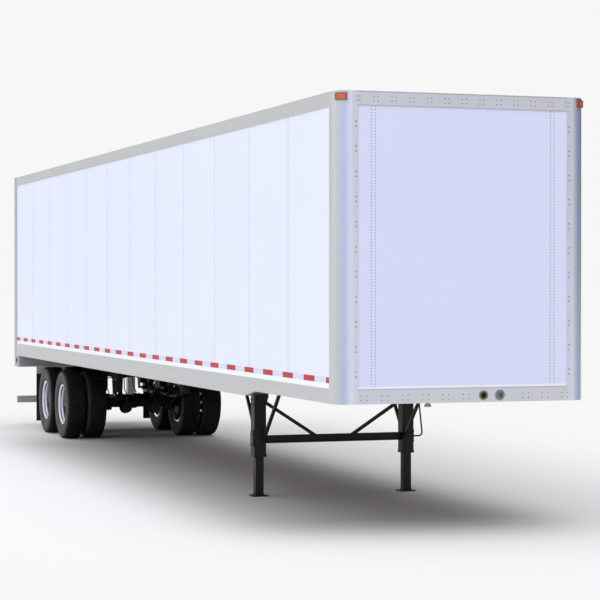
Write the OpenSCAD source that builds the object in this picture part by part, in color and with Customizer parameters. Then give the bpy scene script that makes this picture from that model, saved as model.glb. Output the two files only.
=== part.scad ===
// Semi trailer: a 53 ft dry van on a sliding tandem, parked on its landing gear.
// +X points to the nose, +Y to the left side, +Z up; the origin is on the ground
// under the middle of the body. Millimetres.

/* [Body] */
// Length from the nose to the faces of the closed doors
body_l = 16154; // [15500:2:16200]
// Width over the side rails
body_w = 2591; // [2560:1:2600]
// Height of the top rails above the ground
body_top = 4182; // [4100:1:4200]
// Underside of the side bottom rails
rail_bot = 1172; // [1165:1:1180]
// Upper edge of the side bottom rails
rail_top = 1374; // [1360:1:1390]
// Lower edge of the top rails
top_low = 4041; // [4000:1:4060]
// Underside of the body ahead of the landing gear
nose_bot = 1235; // [1230:1:1245]
// Thickness of a side wall
wall_t = 20; // [16:1:24]
// Thickness of the front wall with its posts and lining
front_t = 40; // [30:1:45]
// How far a rail's lip stands proud of the wall behind it
lip = 8; // [6:1:10]
// Radius of the front vertical corners
corner_r = 150; // [130:1:170]
// Distance from the nose to the edge of the corner post's side flange
post_side = 217; // [200:1:240]
// Distance from the side to the edge of the corner post's front flange
post_front = 212; // [190:1:220]
// Width of one side panel
panel_w = 1314; // [1300:1:1320]
// Distance from the nose to the first panel seam
seam_1 = 1462; // [1440:1:1480]
// Top surface of the floor
floor_z = 1317; // [1310:1:1325]
// Thickness of the floor boards
floor_t = 35; // [30:1:38]
// Distance between crossmembers
cross_pitch = 304.8; // [300:0.1:330]

/* [Rear frame and doors] */
// Depth of the rear frame, front to back
frame_d = 194; // [180:1:210]
// Width of a rear post
post_w = 70; // [65:1:75]
// Underside of the rear header
header_low = 4062; // [4050:1:4080]
// Depth of the rear sill, front to back
sill_d = 384; // [360:1:400]
// Underside of the rear sill
sill_low = 985; // [970:1:1000]
// Thickness of a door
door_t = 45; // [38:1:48]
// How far the hinge pins stand behind the door faces
hinge_back = 57; // [56:1:60]
// How far the hinge pins stand in from the side
hinge_in = 18; // [16:1:18]

/* [Kingpin and coupler] */
// Distance from the nose to the kingpin
king_s = 914; // [900:1:930]
// Underside of the coupler plate
coupler_z = 1225; // [1222:1:1228]

/* [Landing gear] */
// Distance from the nose to the legs
leg_s = 3712; // [3600:1:3740]
// Distance from the centre line to a leg
leg_y = 886; // [870:1:900]
// Width of a leg housing
house_w = 137; // [130:1:140]
// Lower end of a leg housing
house_low = 440; // [420:1:460]
// Width of an inner leg
inner_w = 93; // [90:1:100]
// Width of a foot pad
foot_w = 178; // [160:1:200]

/* [Tandem] */
// Distance from the nose to the front axle
axle_s = 12740; // [12700:1:12800]
// Distance between the two axles
axle_gap = 1250; // [1240:1:1260]
// Tyre radius
tyre_r = 524; // [518:1:528]
// Tyre section width
tyre_w = 285; // [278:1:288]
// Centre line to the middle of the outer tyre
dual_out = 1080; // [1076:1:1082]
// Distance between the middles of twin tyres
dual_gap = 338; // [335:1:340]
// Distance from the nose to the mud flaps
flap_s = 14750; // [14720:1:14780]

/* [Hidden] */
$fn = 64;

hw = body_w / 2;
rear_x = -body_l / 2;
frame_x = rear_x + frame_d;
function fx(s) = body_l / 2 - s;
axle_x = [fx(axle_s), fx(axle_s + axle_gap)];
cx = fx(corner_r);
cy = hw - corner_r;
floor_b = floor_z - floor_t;
cross_b = rail_bot + 10;
lap = 40;
hinge_x = rear_x - hinge_back;
hinge_y = hw - hinge_in;
hinge_r = 10;
hinge_z = [1500, 2290, 3080, 3860];
door_z0 = floor_z + 8;
door_z1 = header_low - 7;
door_y0 = 6;
door_y1 = hw - post_w - 6.5;

// colours
c_white = [0.90, 0.92, 0.98];
c_rail = [0.78, 0.79, 0.80];
c_steel = [0.55, 0.56, 0.58];
c_dark = [0.10, 0.10, 0.11];
c_wood = [0.62, 0.45, 0.28];
c_alu = [0.82, 0.83, 0.86];

// a prism along X from a profile of [y, z] points
module prism_x(x0, x1, pts) translate([x0, 0, 0]) rotate([90, 0, 90]) linear_extrude(x1 - x0) polygon(pts);
// a prism along Y from a profile of [x, z] points
module prism_y(y0, y1, pts) translate([0, y1, 0]) rotate([90, 0, 0]) linear_extrude(y1 - y0) polygon(pts);
// a box from its low and high corners
module box(a, b) translate(a) cube([b[0] - a[0], b[1] - a[1], b[2] - a[2]]);
// the left piece and its mirror image on the right
module pair() { children(); mirror([0, 1, 0]) children(); }
// a square bar from a to b, w wide and t thick
module bar(a, b, w, t) {
    d = b - a;
    l = norm(d);
    translate(a) rotate([0, acos(d[2] / l), atan2(d[1], d[0])]) translate([-t / 2, -w / 2, 0]) cube([t, w, l]);
}
// a round rod from a to b
module rod(a, b, r) {
    d = b - a;
    l = norm(d);
    translate(a) rotate([0, acos(d[2] / l), atan2(d[1], d[0])]) cylinder(r = r, h = l);
}

// ---------------------------------------------------------------- body shell
module side_wall() color(c_white) difference() {
    box([frame_x, hw - lip - wall_t, rail_top - lap], [fx(corner_r), hw - lip, top_low + lap]);
    for (k = [0:10]) box([fx(seam_1 + panel_w * k) - 2, hw - lip - 3, rail_top - lap - 1],
                         [fx(seam_1 + panel_w * k) + 2, hw, top_low + lap + 1]);
}
module left_side_wall() side_wall();
module right_side_wall() mirror([0, 1, 0]) side_wall();

module front_wall() color([0.85, 0.86, 0.96])
    box([fx(lip + front_t), -cy, nose_bot + 102], [fx(lip), cy, top_low + 2 + lap]);

// plan of a deck inside the shell: i = distance in from the sides, f = from the nose
module deck(i, f) {
    translate([frame_x, -(hw - i)]) square([cx - frame_x, 2 * (hw - i)]);
    translate([cx, -cy]) square([corner_r - f, 2 * cy]);
    for (m = [0, 1]) mirror([0, m]) intersection() {
        translate([cx, cy]) circle(corner_r - lip - wall_t - 0.5);
        translate([cx, cy]) square([corner_r - f, corner_r]);
    }
}
module roof() color(c_white) {
    translate([0, 0, body_top - 14]) linear_extrude(8) deck(45, 60);
    for (k = [0:25]) box([fx(420 + 606 * k) - 22, -(hw - 45), body_top - 52],
                         [fx(420 + 606 * k) + 22, hw - 45, body_top - 13]);
}
module floor() color(c_wood) translate([0, 0, floor_b]) linear_extrude(floor_t) deck(lip + wall_t, 60);

// rolled I beams on end angles that bolt to the side rails
module crossmembers() color(c_steel) {
    e = hw - lip - wall_t;
    for (k = [0:42]) let (x = fx(2990 + cross_pitch * k))
        prism_y(-e, e, [[x - 28, cross_b], [x + 28, cross_b], [x + 28, cross_b + 6], [x + 3, cross_b + 6],
            [x + 3, floor_b - 6], [x + 28, floor_b - 6], [x + 28, floor_b], [x - 28, floor_b],
            [x - 28, floor_b - 6], [x - 3, floor_b - 6], [x - 3, cross_b + 6], [x - 28, cross_b + 6]]);
    pair() box([fx(15900), e - 6, cross_b + 12], [fx(2950), e, floor_b - 12]);
}

module top_side_rails() color(c_rail) pair() {
    box([frame_x, hw - lip, top_low], [fx(post_side), hw, body_top]);
    box([frame_x, hw - 45, top_low + lap], [cx, hw - lip, body_top]);
}
module bottom_side_rails() color(c_rail) pair() difference() {
    union() {
        box([frame_x, hw - lip, rail_bot], [fx(post_side), hw, rail_top]);
        prism_x(frame_x, cx, [[hw - lip, rail_bot], [hw - lip, rail_top - lap],
            [hw - lip - wall_t, rail_top - lap], [hw - lip - wall_t, cross_b],
            [hw - 78, cross_b], [hw - 78, rail_bot]]);
    }
    prism_y(hw - 100, hw + 10, [[fx(2900), rail_bot - 5], [fx(2900), rail_bot], [fx(2540), nose_bot],
        [fx(-10), nose_bot], [fx(-10), rail_bot - 5]]);
}

module corner_plan() {
    intersection() {
        translate([cx, cy]) difference() { circle(corner_r); circle(corner_r - lip - wall_t); }
        translate([cx, cy]) square(corner_r + 5);
    }
    translate([fx(post_side), hw - lip]) square([post_side - corner_r, lip]);
    translate([fx(lip), hw - post_front]) square([lip, post_front - corner_r]);
}
module front_corner_posts() color(c_rail) pair()
    translate([0, 0, nose_bot]) linear_extrude(body_top - nose_bot) corner_plan();

module front_top_rail() color(c_rail) {
    box([fx(lip), -(hw - post_front), top_low + 2], [fx(0), hw - post_front, body_top]);
    box([fx(60), -cy, top_low + 2 + lap], [fx(lip), cy, body_top]);
}

// sockets of the air and electric lines: y and radius of the body
couplings = [[199, 31], [370, 34]];
coupling_z = 1300;
module front_bottom_rail() color(c_rail) difference() {
    union() {
        box([fx(lip), -(hw - post_front), nose_bot], [fx(0), hw - post_front, nose_bot + 142]);
        box([fx(60), -cy, nose_bot], [fx(lip), cy, nose_bot + 102]);
    }
    for (c = couplings) translate([fx(61), c[0], coupling_z]) rotate([0, 90, 0]) cylinder(r = c[1] + 0.5, h = 62);
}
module coupling(c, bore, depth) translate([0, c[0], coupling_z]) rotate([0, 90, 0]) difference() {
    union() {
        translate([0, 0, fx(56)]) cylinder(r = c[1], h = 56);
        translate([0, 0, fx(0)]) cylinder(r = c[1] + 4, h = 6);
    }
    translate([0, 0, fx(depth)]) cylinder(r = bore, h = depth + 7);
}
module air_coupling() color([0.75, 0.72, 0.35]) coupling(couplings[0], 19, 44);
module electric_coupling() color([0.45, 0.46, 0.48]) coupling(couplings[1], 27, 24);

// ------------------------------------------------------- coupler and kingpin
module upper_coupler() color(c_dark) {
    difference() {
        box([fx(1900), -915, coupler_z], [fx(300), 915, nose_bot]);
        translate([fx(king_s), 0, coupler_z - 5]) cylinder(r = 37, h = 20);
    }
    for (k = [0:9]) box([fx(260 + 250 * k) - 30, -(hw - lip - wall_t), nose_bot],
                        [fx(260 + 250 * k) + 30, hw - lip - wall_t, floor_b]);
    box([fx(king_s) - 90, -120, nose_bot], [fx(king_s) + 90, 120, floor_b]);
    pair() box([fx(2520), 410, nose_bot], [fx(90), 470, floor_b]);
}
module kingpin() color([0.35, 0.35, 0.36]) translate([fx(king_s), 0, coupler_z - 84]) rotate_extrude()
    polygon([[0, 0], [35.7, 0], [35.7, 19], [25.4, 19], [25.4, 54], [36.5, 54], [36.5, 94], [0, 94]]);

// ---------------------------------------------------------------- rear frame
module hinge_lug() polygon([[rear_x, hw - 48], [rear_x, hw - 2], [hinge_x, hinge_y + hinge_r],
    [hinge_x - 6, hinge_y - 8]]);
module rear_corner_posts() color(c_rail) pair() {
    translate([0, 0, rail_bot]) linear_extrude(body_top - rail_bot) polygon([[rear_x, hw],
        [rear_x, hw - post_w], [rear_x + 8, hw - post_w], [rear_x + 8, hw - 8], [frame_x - 8, hw - 8],
        [frame_x - 8, hw - post_w], [frame_x, hw - post_w], [frame_x, hw]]);
    box([rear_x, hw - post_w, body_top - 8], [frame_x, hw, body_top]);
    for (z = hinge_z) {
        for (s = [-50, 30]) translate([0, 0, z + s]) linear_extrude(20) {
            hinge_lug();
            translate([hinge_x, hinge_y]) circle(hinge_r);
        }
        translate([hinge_x, hinge_y, z - 54]) cylinder(r = 6, h = 108);
    }
}
module rear_header() color(c_rail) prism_y(-(hw - post_w), hw - post_w, [[rear_x, header_low],
    [frame_x, header_low], [frame_x, header_low + 8], [rear_x + 8, header_low + 8],
    [rear_x + 8, body_top - 8], [frame_x, body_top - 8], [frame_x, body_top], [rear_x, body_top]]);

// a deep pressed tray under the floor's end, with a slot in each end face
module rear_sill() color(c_rail) difference() {
    union() {
        prism_y(-hw, hw, [[rear_x, sill_low], [rear_x + sill_d, sill_low], [rear_x + sill_d, rail_bot],
            [rear_x + sill_d - 8, rail_bot], [rear_x + sill_d - 8, sill_low + 8], [rear_x + 8, sill_low + 8],
            [rear_x + 8, rail_bot], [rear_x, rail_bot]]);
        pair() box([rear_x, hw - 8, sill_low], [rear_x + sill_d, hw, rail_bot]);
        prism_y(-(hw - post_w), hw - post_w, [[rear_x, rail_bot - 1], [rear_x + 8, rail_bot - 1],
            [rear_x + 8, floor_z - 8], [frame_x - 8, floor_z - 8], [frame_x - 8, rail_bot - 1],
            [frame_x, rail_bot - 1], [frame_x, floor_z], [rear_x, floor_z]]);
    }
    pair() translate([rear_x + 189, hw + 1, 1091]) rotate([90, 0, 0]) linear_extrude(12) {
        translate([-20, 0]) circle(45);
        translate([20, 0]) circle(45);
        square([40, 90], center = true);
    }
}
module rear_impact_guard() color(c_rail) {
    box([rear_x, -1260, 367], [rear_x + 100, 1260, 479]);
    pair() box([rear_x + 4, 650, 478], [rear_x + 134, 780, sill_low]);
}
// rear lamps: y, z, radius
lamps = [[1010, 1080, 51], [880, 1080, 51], [1150, 1080, 51]];
module rear_lamps() color([0.7, 0.05, 0.04]) {
    pair() for (l = lamps) translate([rear_x - 10, l[0], l[1]]) rotate([0, 90, 0]) cylinder(r = l[2], h = 10);
    for (y = [-1120, -105, 0, 105, 1120]) box([rear_x - 10, y - 32, 4112], [rear_x, y + 32, 4144]);
}
module front_marker_lamps() color([0.85, 0.28, 0.08]) pair()
    translate([cx, cy, 4092]) rotate([0, 0, 17]) rotate_extrude(angle = 44)
        translate([corner_r + 0.2, 0]) square([18, 66]);

// -------------------------------------------------------------- landing gear
leg_x = fx(leg_s);
in_y = leg_y - house_w / 2;
module leg_box(z0, z1) {
    box([leg_x - 67, in_y, z0], [leg_x + 67, leg_y + house_w / 2, z1]);
    prism_x(leg_x - 67, leg_x + 67, [[in_y + 1, 1010], [in_y + 1, z1], [in_y - 28, z1], [in_y - 28, 1110]]);
}
module leg_housings() color(c_dark) pair() leg_box(house_low, cross_b);
module landing_legs() color(c_dark) pair() {
    box([leg_x - inner_w / 2, leg_y - inner_w / 2, 11], [leg_x + inner_w / 2, leg_y + inner_w / 2, house_low]);
    box([leg_x - foot_w / 2, leg_y - foot_w / 2, 0], [leg_x + foot_w / 2, leg_y + foot_w / 2, 12]);
}
module landing_gear_braces() color(c_dark) difference() {
    union() {
        prism_x(leg_x - 4, leg_x + 4, [[-in_y, 590], [in_y, 590], [in_y, 677], [-in_y, 677]]);
        for (z = [590, 669]) box([leg_x - 4, -in_y, z], [leg_x + 52, in_y, z + 8]);
        pair() bar([leg_x + 20, 215, 660], [leg_x + 20, in_y + 20, 1062], 30, 36);
        pair() for (l = [[655, 1, 42], [-525, -1, 2]])
            bar([leg_x + 45 * l[1], leg_y - l[2], 612], [leg_x + l[0], leg_y - l[2], 1200], 32, 30);
    }
    pair() leg_box(400, 1300);
    box([leg_x - 900, -1200, cross_b], [leg_x + 900, 1200, cross_b + 90]);
}
// a bent rod on the left leg, folded up against its hook
module crank_handle() color(c_dark) {
    y0 = leg_y + house_w / 2;
    translate([leg_x, y0, 628]) rotate([-90, 0, 0]) cylinder(r = 17, h = 24);
    translate([leg_x, y0 + 20, 628]) rotate([-90, 0, 0]) cylinder(r = 9, h = 72);
    translate([leg_x, y0 + 92, 668]) rotate([90, 0, 90]) rotate([0, 0, -90]) rotate_extrude(angle = 84)
        translate([40, 0]) circle(9);
    bend = [leg_x, y0 + 92 + 40 * cos(6), 668 - 40 * sin(6)];
    rod(bend, bend + [0, -sin(6), cos(6)] * 420, 9);
    rod(bend + [0, -sin(6), cos(6)] * 410 + [9, 0, 0], bend + [0, -sin(6), cos(6)] * 410 + [-130, 0, 0], 11);
}

// ------------------------------------------------------------ sliding tandem
module body_slide_rails() color(c_dark) pair() prism_x(-7650, -2350, [[490, 1082], [560, 1082], [560, 1090],
    [498, 1090], [498, cross_b - 8], [560, cross_b - 8], [560, cross_b], [490, cross_b]]);

slider_x = [-6760, -3600];
module slider_frame() color(c_dark) {
    pair() {
        box([slider_x[0], 480, 960], [slider_x[1], 570, 1076]);
        for (x = [-6600, -5900, -4800, -3900]) prism_x(x - 60, x + 60, [[562, 1070], [574, 1070], [574, 1106],
            [536, 1106], [536, 1097], [565, 1097], [565, 1076], [562, 1076]]);
    }
    // bump stops over the axles
    pair() for (x = axle_x) box([x - 60, 492, 790], [x + 60, 558, 961]);
    for (x = [-6730, -5980, -5358, -4733, -3680])
        prism_y(-481, 481, [[x - 30, 975], [x + 30, 975], [x + 30, 983], [x - 22, 983], [x - 22, 1062],
            [x + 30, 1062], [x + 30, 1070], [x - 30, 1070]]);
}
// spring hangers: x, half length at the top, half length at the foot
mid_x = (axle_x[0] + axle_x[1]) / 2;
hangers = [[axle_x[0] + 830, 175, 115], [mid_x, 190, 120], [axle_x[1] - 590, 130, 60]];
module spring_hangers() color(c_dark) pair() for (h = hangers) difference() {
    prism_y(480, 570, [[h[0] - h[1], 960], [h[0] - h[2], 655], [h[0] + h[2], 655], [h[0] + h[1], 960]]);
    box([h[0] - 200, 488, 600], [h[0] + 200, 562, 745]);
    translate([h[0], 600, 850]) rotate([90, 0, 0]) cylinder(r = 32, h = 150);
}
// a pack of leaves, low in the middle and swept up to its ends
function arc_z(u, rise) = rise * u * u;
module leaf_springs() color(c_dark) pair() for (a = [[axle_x[0], 780], [axle_x[1], 575]]) prism_y(491, 559, concat(
    [for (k = [-8:8]) [a[0] + (k > 0 ? a[1] : 575) * k / 8, 606 + arc_z(k / 8, 72)]],
    [for (k = [8:-1:-8]) [a[0] + (k > 0 ? a[1] : 575) * k / 8, 606 + arc_z(k / 8, 72) + 18 + 34 * (1 - abs(k) / 8)]]));
module axles() color(c_dark) for (x = axle_x) {
    translate([x, 0, tyre_r]) rotate([90, 0, 0]) {
        cylinder(r = 63.5, h = 1240, center = true);
        cylinder(r = 45, h = 1940, center = true);
    }
    pair() {
        box([x - 75, 486, tyre_r + 30], [x + 75, 564, 606]);
        box([x - 75, 486, tyre_r - 80], [x + 75, 564, tyre_r - 30]);
        translate([x, 624, tyre_r]) rotate([-90, 0, 0]) cylinder(r = 185, h = 16);
        translate([x + 130, 240, tyre_r + 60]) rotate([-90, 0, 0]) cylinder(r = 19, h = 390);
    }
}
module brake_chambers() color(c_dark) pair() for (x = axle_x) {
    translate([x + 70, 225, tyre_r - 58]) rotate([0, 90, 0]) cylinder(r = 88, h = 70);
    translate([x + 130, 225, tyre_r - 58]) rotate([0, 90, 0]) cylinder(r = 76, h = 110);
    box([x + 100, 205, tyre_r + 20], [x + 160, 239, tyre_r + 90]);
    box([x + 100, 205, tyre_r - 60], [x + 118, 239, tyre_r + 90]);
}
module air_tank() color(c_dark) {
    translate([-4645, 0, 1020]) rotate([0, 90, 0]) cylinder(r = 105, h = 640);
    box([-4755, -40, 990], [-4640, 40, 1050]);
    box([-4010, -40, 990], [-3960, 40, 1050]);
}
module mud_flaps() color(c_dark) pair()
    box([fx(flap_s) - 5, 598, 141], [fx(flap_s) + 5, 1200, 911]);
module mud_flap_brackets() color(c_rail) pair() {
    box([fx(flap_s) - 12, 598, 911], [fx(flap_s) + 12, 1200, 1025]);
    box([fx(flap_s) - 12, 570, 962], [fx(flap_s) + 12, 600, 1025]);
}

// -------------------------------------------------------------------- wheels
// tyre section: [radius, distance from its middle], mirrored about the middle
tyre_half = [[288, 98], [308.5, 103.5], [318, 116], [345, 133], [388, tyre_w / 2], [430, 141],
    [470, 135], [500, 126], [514, 115], [tyre_r, 101]];
module tyre(y) translate([0, y, 0]) rotate([-90, 0, 0]) rotate_extrude($fn = 96)
    polygon(concat(tyre_half, [for (k = [9:-1:0]) [tyre_half[k][0], -tyre_half[k][1]]]));
module tyres() color([0.07, 0.07, 0.075]) { tyre(dual_out); tyre(dual_out - dual_gap); }

// rim section and disc section: [radius, distance from the tyre's middle]
rim = [[307, -114], [307, -104.5], [287, -99], [285, -64], [264, -48], [264, 48], [285, 64], [287, 99],
    [307, 104.5], [307, 114], [297, 114], [276, 105], [273, 70], [252, 54], [252, -54], [273, -70],
    [276, -105], [297, -114]];
dm = dual_gap / 2;
disc = [[258, -14], [222, -88], [192, 28 - dm], [170, 22 - dm], [109, 22 - dm], [109, -dm], [176, -dm],
    [206, 18 - dm], [236, -100], [258, -50]];
module wheel(y, s) translate([0, y, 0]) rotate([-90 * s, 0, 0]) difference() {
    union() { rotate_extrude($fn = 96) polygon(rim); rotate_extrude($fn = 96) polygon(disc); }
    for (k = [0:9]) rotate([0, 0, 36 * k]) translate([216, 0, -200]) cylinder(r = 24, h = 190, $fn = 32);
}
hub_in = dual_out - dm;
module hub() rotate([-90, 0, 0]) difference() {
    rotate_extrude($fn = 96) polygon([[0, 770], [84, 770], [84, hub_in - 46], [212, hub_in - 46],
        [212, 620], [226, 620], [226, hub_in - 26], [172, hub_in - 26], [172, hub_in - 22], [110, hub_in - 22],
        [110, hub_in + 62], [98, hub_in + 74], [90, hub_in + 78], [90, hub_in + 112], [78, hub_in + 130],
        [40, hub_in + 134], [0, hub_in + 134]]);
    translate([0, 0, 700]) cylinder(r = 46.5, h = 275);
}
module wheels() color(c_alu) {
    wheel(dual_out, 1);
    wheel(dual_out - dual_gap, -1);
    hub();
}
module at(a) translate([axle_x[a], 0, tyre_r]) children();
module front_left_tyres() at(0) tyres();
module front_left_wheels() at(0) wheels();
module front_right_tyres() at(0) mirror([0, 1, 0]) tyres();
module front_right_wheels() at(0) mirror([0, 1, 0]) wheels();
module rear_left_tyres() at(1) tyres();
module rear_left_wheels() at(1) wheels();
module rear_right_tyres() at(1) mirror([0, 1, 0]) tyres();
module rear_right_wheels() at(1) mirror([0, 1, 0]) wheels();

// --------------------------------------------------------------------- doors
module door() color(c_white) box([rear_x, door_y0, door_z0], [rear_x + door_t, door_y1, door_z1]);
// lock rods: y, handle length, handle height
rods = [[200, 400, 1610], [840, -330, 1520]];
module hinge_strap(z) difference() {
    union() {
        translate([0, 0, z - 28]) linear_extrude(56) {
            translate([rear_x - 16, 925]) square([8, hw - 990]);
            polygon([[rear_x - 8, hw - 68], [rear_x - 8, hinge_y - 22], [hinge_x + 3, hinge_y + 9.4],
                [hinge_x - 8, hinge_y - 6], [rear_x - 16, hw - 68]]);
            translate([hinge_x, hinge_y]) circle(hinge_r);
        }
        box([rear_x - 9, 930, z - 22], [rear_x, door_y1 - 10, z + 22]);
    }
    translate([hinge_x, hinge_y, z - 30]) cylinder(r = 6.6, h = 60);
}
module door_hardware() color(c_steel) {
    for (z = hinge_z) hinge_strap(z);
    for (r = rods) {
        translate([rear_x - 19, r[0], 1245]) cylinder(r = 12, h = 2880);
        for (z = [1400, 2060, 2860, 3700, 4000]) box([rear_x - 32, r[0] - 32, z - 20], [rear_x, r[0] + 32, z + 20]);
        for (z = [1262, 4104]) box([rear_x - 32, r[0] - 24, z - 16], [rear_x - 7, r[0] + 24, z + 16]);
        box([rear_x - 31, min(r[0], r[0] + r[1]), r[2] - 14], [rear_x - 19, max(r[0], r[0] + r[1]), r[2] + 14]);
    }
}
module left_door() door();
module left_door_hardware() door_hardware();
module right_door() mirror([0, 1, 0]) door();
module right_door_hardware() mirror([0, 1, 0]) door_hardware();

left_side_wall();
right_side_wall();
front_wall();
roof();
floor();
crossmembers();
top_side_rails();
bottom_side_rails();
front_corner_posts();
front_top_rail();
front_bottom_rail();
upper_coupler();
kingpin();
rear_corner_posts();
rear_header();
rear_sill();
rear_impact_guard();
leg_housings();
landing_legs();
landing_gear_braces();
crank_handle();
body_slide_rails();
front_marker_lamps();
rear_lamps();
air_coupling();
electric_coupling();
slider_frame();
spring_hangers();
leaf_springs();
axles();
brake_chambers();
air_tank();
mud_flaps();
mud_flap_brackets();
front_left_tyres();
front_left_wheels();
front_right_tyres();
front_right_wheels();
rear_left_tyres();
rear_left_wheels();
rear_right_tyres();
rear_right_wheels();
left_door();
left_door_hardware();
right_door();
right_door_hardware();
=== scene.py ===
import bpy, bmesh, math, random
from mathutils import Vector, Matrix


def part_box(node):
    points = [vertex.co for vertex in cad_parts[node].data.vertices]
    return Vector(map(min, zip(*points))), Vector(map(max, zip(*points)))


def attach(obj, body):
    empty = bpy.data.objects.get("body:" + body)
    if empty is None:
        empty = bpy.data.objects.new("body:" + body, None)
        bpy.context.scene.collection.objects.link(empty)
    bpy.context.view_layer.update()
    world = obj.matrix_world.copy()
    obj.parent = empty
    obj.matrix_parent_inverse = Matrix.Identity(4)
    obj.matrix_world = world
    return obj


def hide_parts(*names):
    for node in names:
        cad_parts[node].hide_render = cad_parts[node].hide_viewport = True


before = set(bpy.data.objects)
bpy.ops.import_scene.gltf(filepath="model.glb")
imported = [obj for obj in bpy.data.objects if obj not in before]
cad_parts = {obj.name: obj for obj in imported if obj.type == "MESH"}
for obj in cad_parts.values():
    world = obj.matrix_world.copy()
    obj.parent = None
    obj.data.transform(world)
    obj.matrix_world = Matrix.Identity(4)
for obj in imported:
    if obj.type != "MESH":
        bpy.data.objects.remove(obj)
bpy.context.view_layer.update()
random.seed(7)
sc = bpy.context.scene

# ---------------------------------------------------------------- camera
cam_data = bpy.data.cameras.new("cam")
cam = bpy.data.objects.new("cam", cam_data)
sc.collection.objects.link(cam)
sc.camera = cam
cam_data.sensor_width = 36.0
cam_data.lens = 119.34
cam_data.clip_start = 0.1
cam_data.clip_end = 400
cam.location = (25.557, -7.608, 2.3485)
yaw, pitch = math.radians(18.795), math.radians(0.406)
look = Vector((-math.cos(yaw) * math.cos(pitch), math.sin(yaw) * math.cos(pitch), -math.sin(pitch)))
cam.rotation_euler = look.to_track_quat("-Z", "Y").to_euler()

# ---------------------------------------------------------------- materials
class Mat:
    """A small helper around a node material."""
    def __init__(self, name, color, rough=0.5, metal=0.0, spec=0.5, coat=0.0, coat_rough=0.1):
        self.m = bpy.data.materials.new(name)
        self.m.use_nodes = True
        self.t = self.m.node_tree
        self.bsdf = self.t.nodes["Principled BSDF"]
        self.bsdf.inputs["Base Color"].default_value = (*color, 1)
        self.bsdf.inputs["Roughness"].default_value = rough
        self.bsdf.inputs["Metallic"].default_value = metal
        self.bsdf.inputs["Specular IOR Level"].default_value = spec
        self.bsdf.inputs["Coat Weight"].default_value = coat
        self.bsdf.inputs["Coat Roughness"].default_value = coat_rough
        self.m.diffuse_color = (*color, 1)
        self.coord = self.t.nodes.new("ShaderNodeTexCoord")
        self.height = None

    def node(self, kind, **kw):
        n = self.t.nodes.new(kind)
        for k, v in kw.items():
            setattr(n, k, v)
        return n

    def link(self, a, b):
        self.t.links.new(a, b)

    def mapping(self, scale=(1, 1, 1), rot=(0, 0, 0), loc=(0, 0, 0)):
        n = self.node("ShaderNodeMapping")
        n.inputs["Scale"].default_value = scale
        n.inputs["Rotation"].default_value = rot
        n.inputs["Location"].default_value = loc
        self.link(self.coord.outputs["Object"], n.inputs["Vector"])
        return n.outputs["Vector"]

    def noise(self, scale=5.0, detail=4.0, rough=0.55, vec=None, dist=0.0):
        n = self.node("ShaderNodeTexNoise")
        n.inputs["Scale"].default_value = scale
        n.inputs["Detail"].default_value = detail
        n.inputs["Roughness"].default_value = rough
        n.inputs["Distortion"].default_value = dist
        self.link(vec if vec is not None else self.coord.outputs["Object"], n.inputs["Vector"])
        return n.outputs["Fac"]

    def ramp(self, fac, stops):
        n = self.node("ShaderNodeValToRGB")
        e = n.color_ramp.elements
        while len(e) < len(stops):
            e.new(0.5)
        for el, (p, c) in zip(e, stops):
            el.position = p
            el.color = (*c, 1) if len(c) == 3 else c
        self.link(fac, n.inputs["Fac"])
        return n.outputs["Color"]

    def mix(self, fac, a, b):
        n = self.node("ShaderNodeMix", data_type="RGBA")
        for sock, v in ((n.inputs[0], fac), (n.inputs[6], a), (n.inputs[7], b)):
            if isinstance(v, tuple):
                sock.default_value = (*v, 1)
            elif isinstance(v, (int, float)):
                sock.default_value = v
            else:
                self.link(v, sock)
        return n.outputs[2]

    def math(self, op, a, b=None):
        n = self.node("ShaderNodeMath", operation=op)
        for i, v in enumerate((a, b)):
            if v is None:
                continue
            if isinstance(v, (int, float)):
                n.inputs[i].default_value = v
            else:
                self.link(v, n.inputs[i])
        return n.outputs[0]

    def color(self, out):
        self.link(out, self.bsdf.inputs["Base Color"])

    def rough(self, fac, lo, hi):
        n = self.node("ShaderNodeMapRange")
        n.inputs["To Min"].default_value = lo
        n.inputs["To Max"].default_value = hi
        self.link(fac, n.inputs["Value"])
        self.link(n.outputs["Result"], self.bsdf.inputs["Roughness"])

    def bump(self, height, strength=0.1, dist=0.002):
        n = self.node("ShaderNodeBump")
        n.inputs["Strength"].default_value = strength
        n.inputs["Distance"].default_value = dist
        self.link(height, n.inputs["Height"])
        if self.height is not None:
            self.link(self.height, n.inputs["Normal"])
        self.height = n.outputs["Normal"]
        self.link(self.height, self.bsdf.inputs["Normal"])


def lerp(a, b, t):
    return tuple(x + (y - x) * t for x, y in zip(a, b))


def paint(name, color, rough=0.35, spec=0.4, dark=0.93, wear=None, waves=0.06):
    """Sprayed or coil-coated paint: faint mottling and soft orange peel."""
    m = Mat(name, color, rough, 0.0, spec)
    n1 = m.noise(0.9, 3.0, 0.5)
    c = m.ramp(n1, [(0.3, lerp(color, (0, 0, 0), 1 - dark)), (0.7, color)])
    m.color(c)
    m.rough(m.noise(7.0, 5.0, 0.6), max(0.05, rough - 0.07), rough + 0.09)
    m.bump(m.noise(2.2, 2.0, 0.4), waves, 0.01)
    m.bump(m.noise(420.0, 2.0, 0.5), 0.05, 0.0006)
    return m


def metal(name, color, rough=0.35, metallic=1.0, stretch=(1, 1, 1), grain=0.12, dark=0.88):
    """Extruded or machined metal with a drawn grain along one direction."""
    m = Mat(name, color, rough, metallic, 0.5)
    v = m.mapping(stretch)
    g = m.noise(60.0, 4.0, 0.6, v)
    c = m.ramp(m.math("ADD", m.math("MULTIPLY", g, 0.35), m.math("MULTIPLY", m.noise(1.6, 3.0), 0.65)),
               [(0.32, lerp(color, (0, 0, 0), 1 - dark)), (0.68, color)])
    m.color(c)
    m.rough(g, max(0.04, rough - 0.08), rough + 0.1)
    m.bump(g, grain, 0.0008)
    return m


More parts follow.
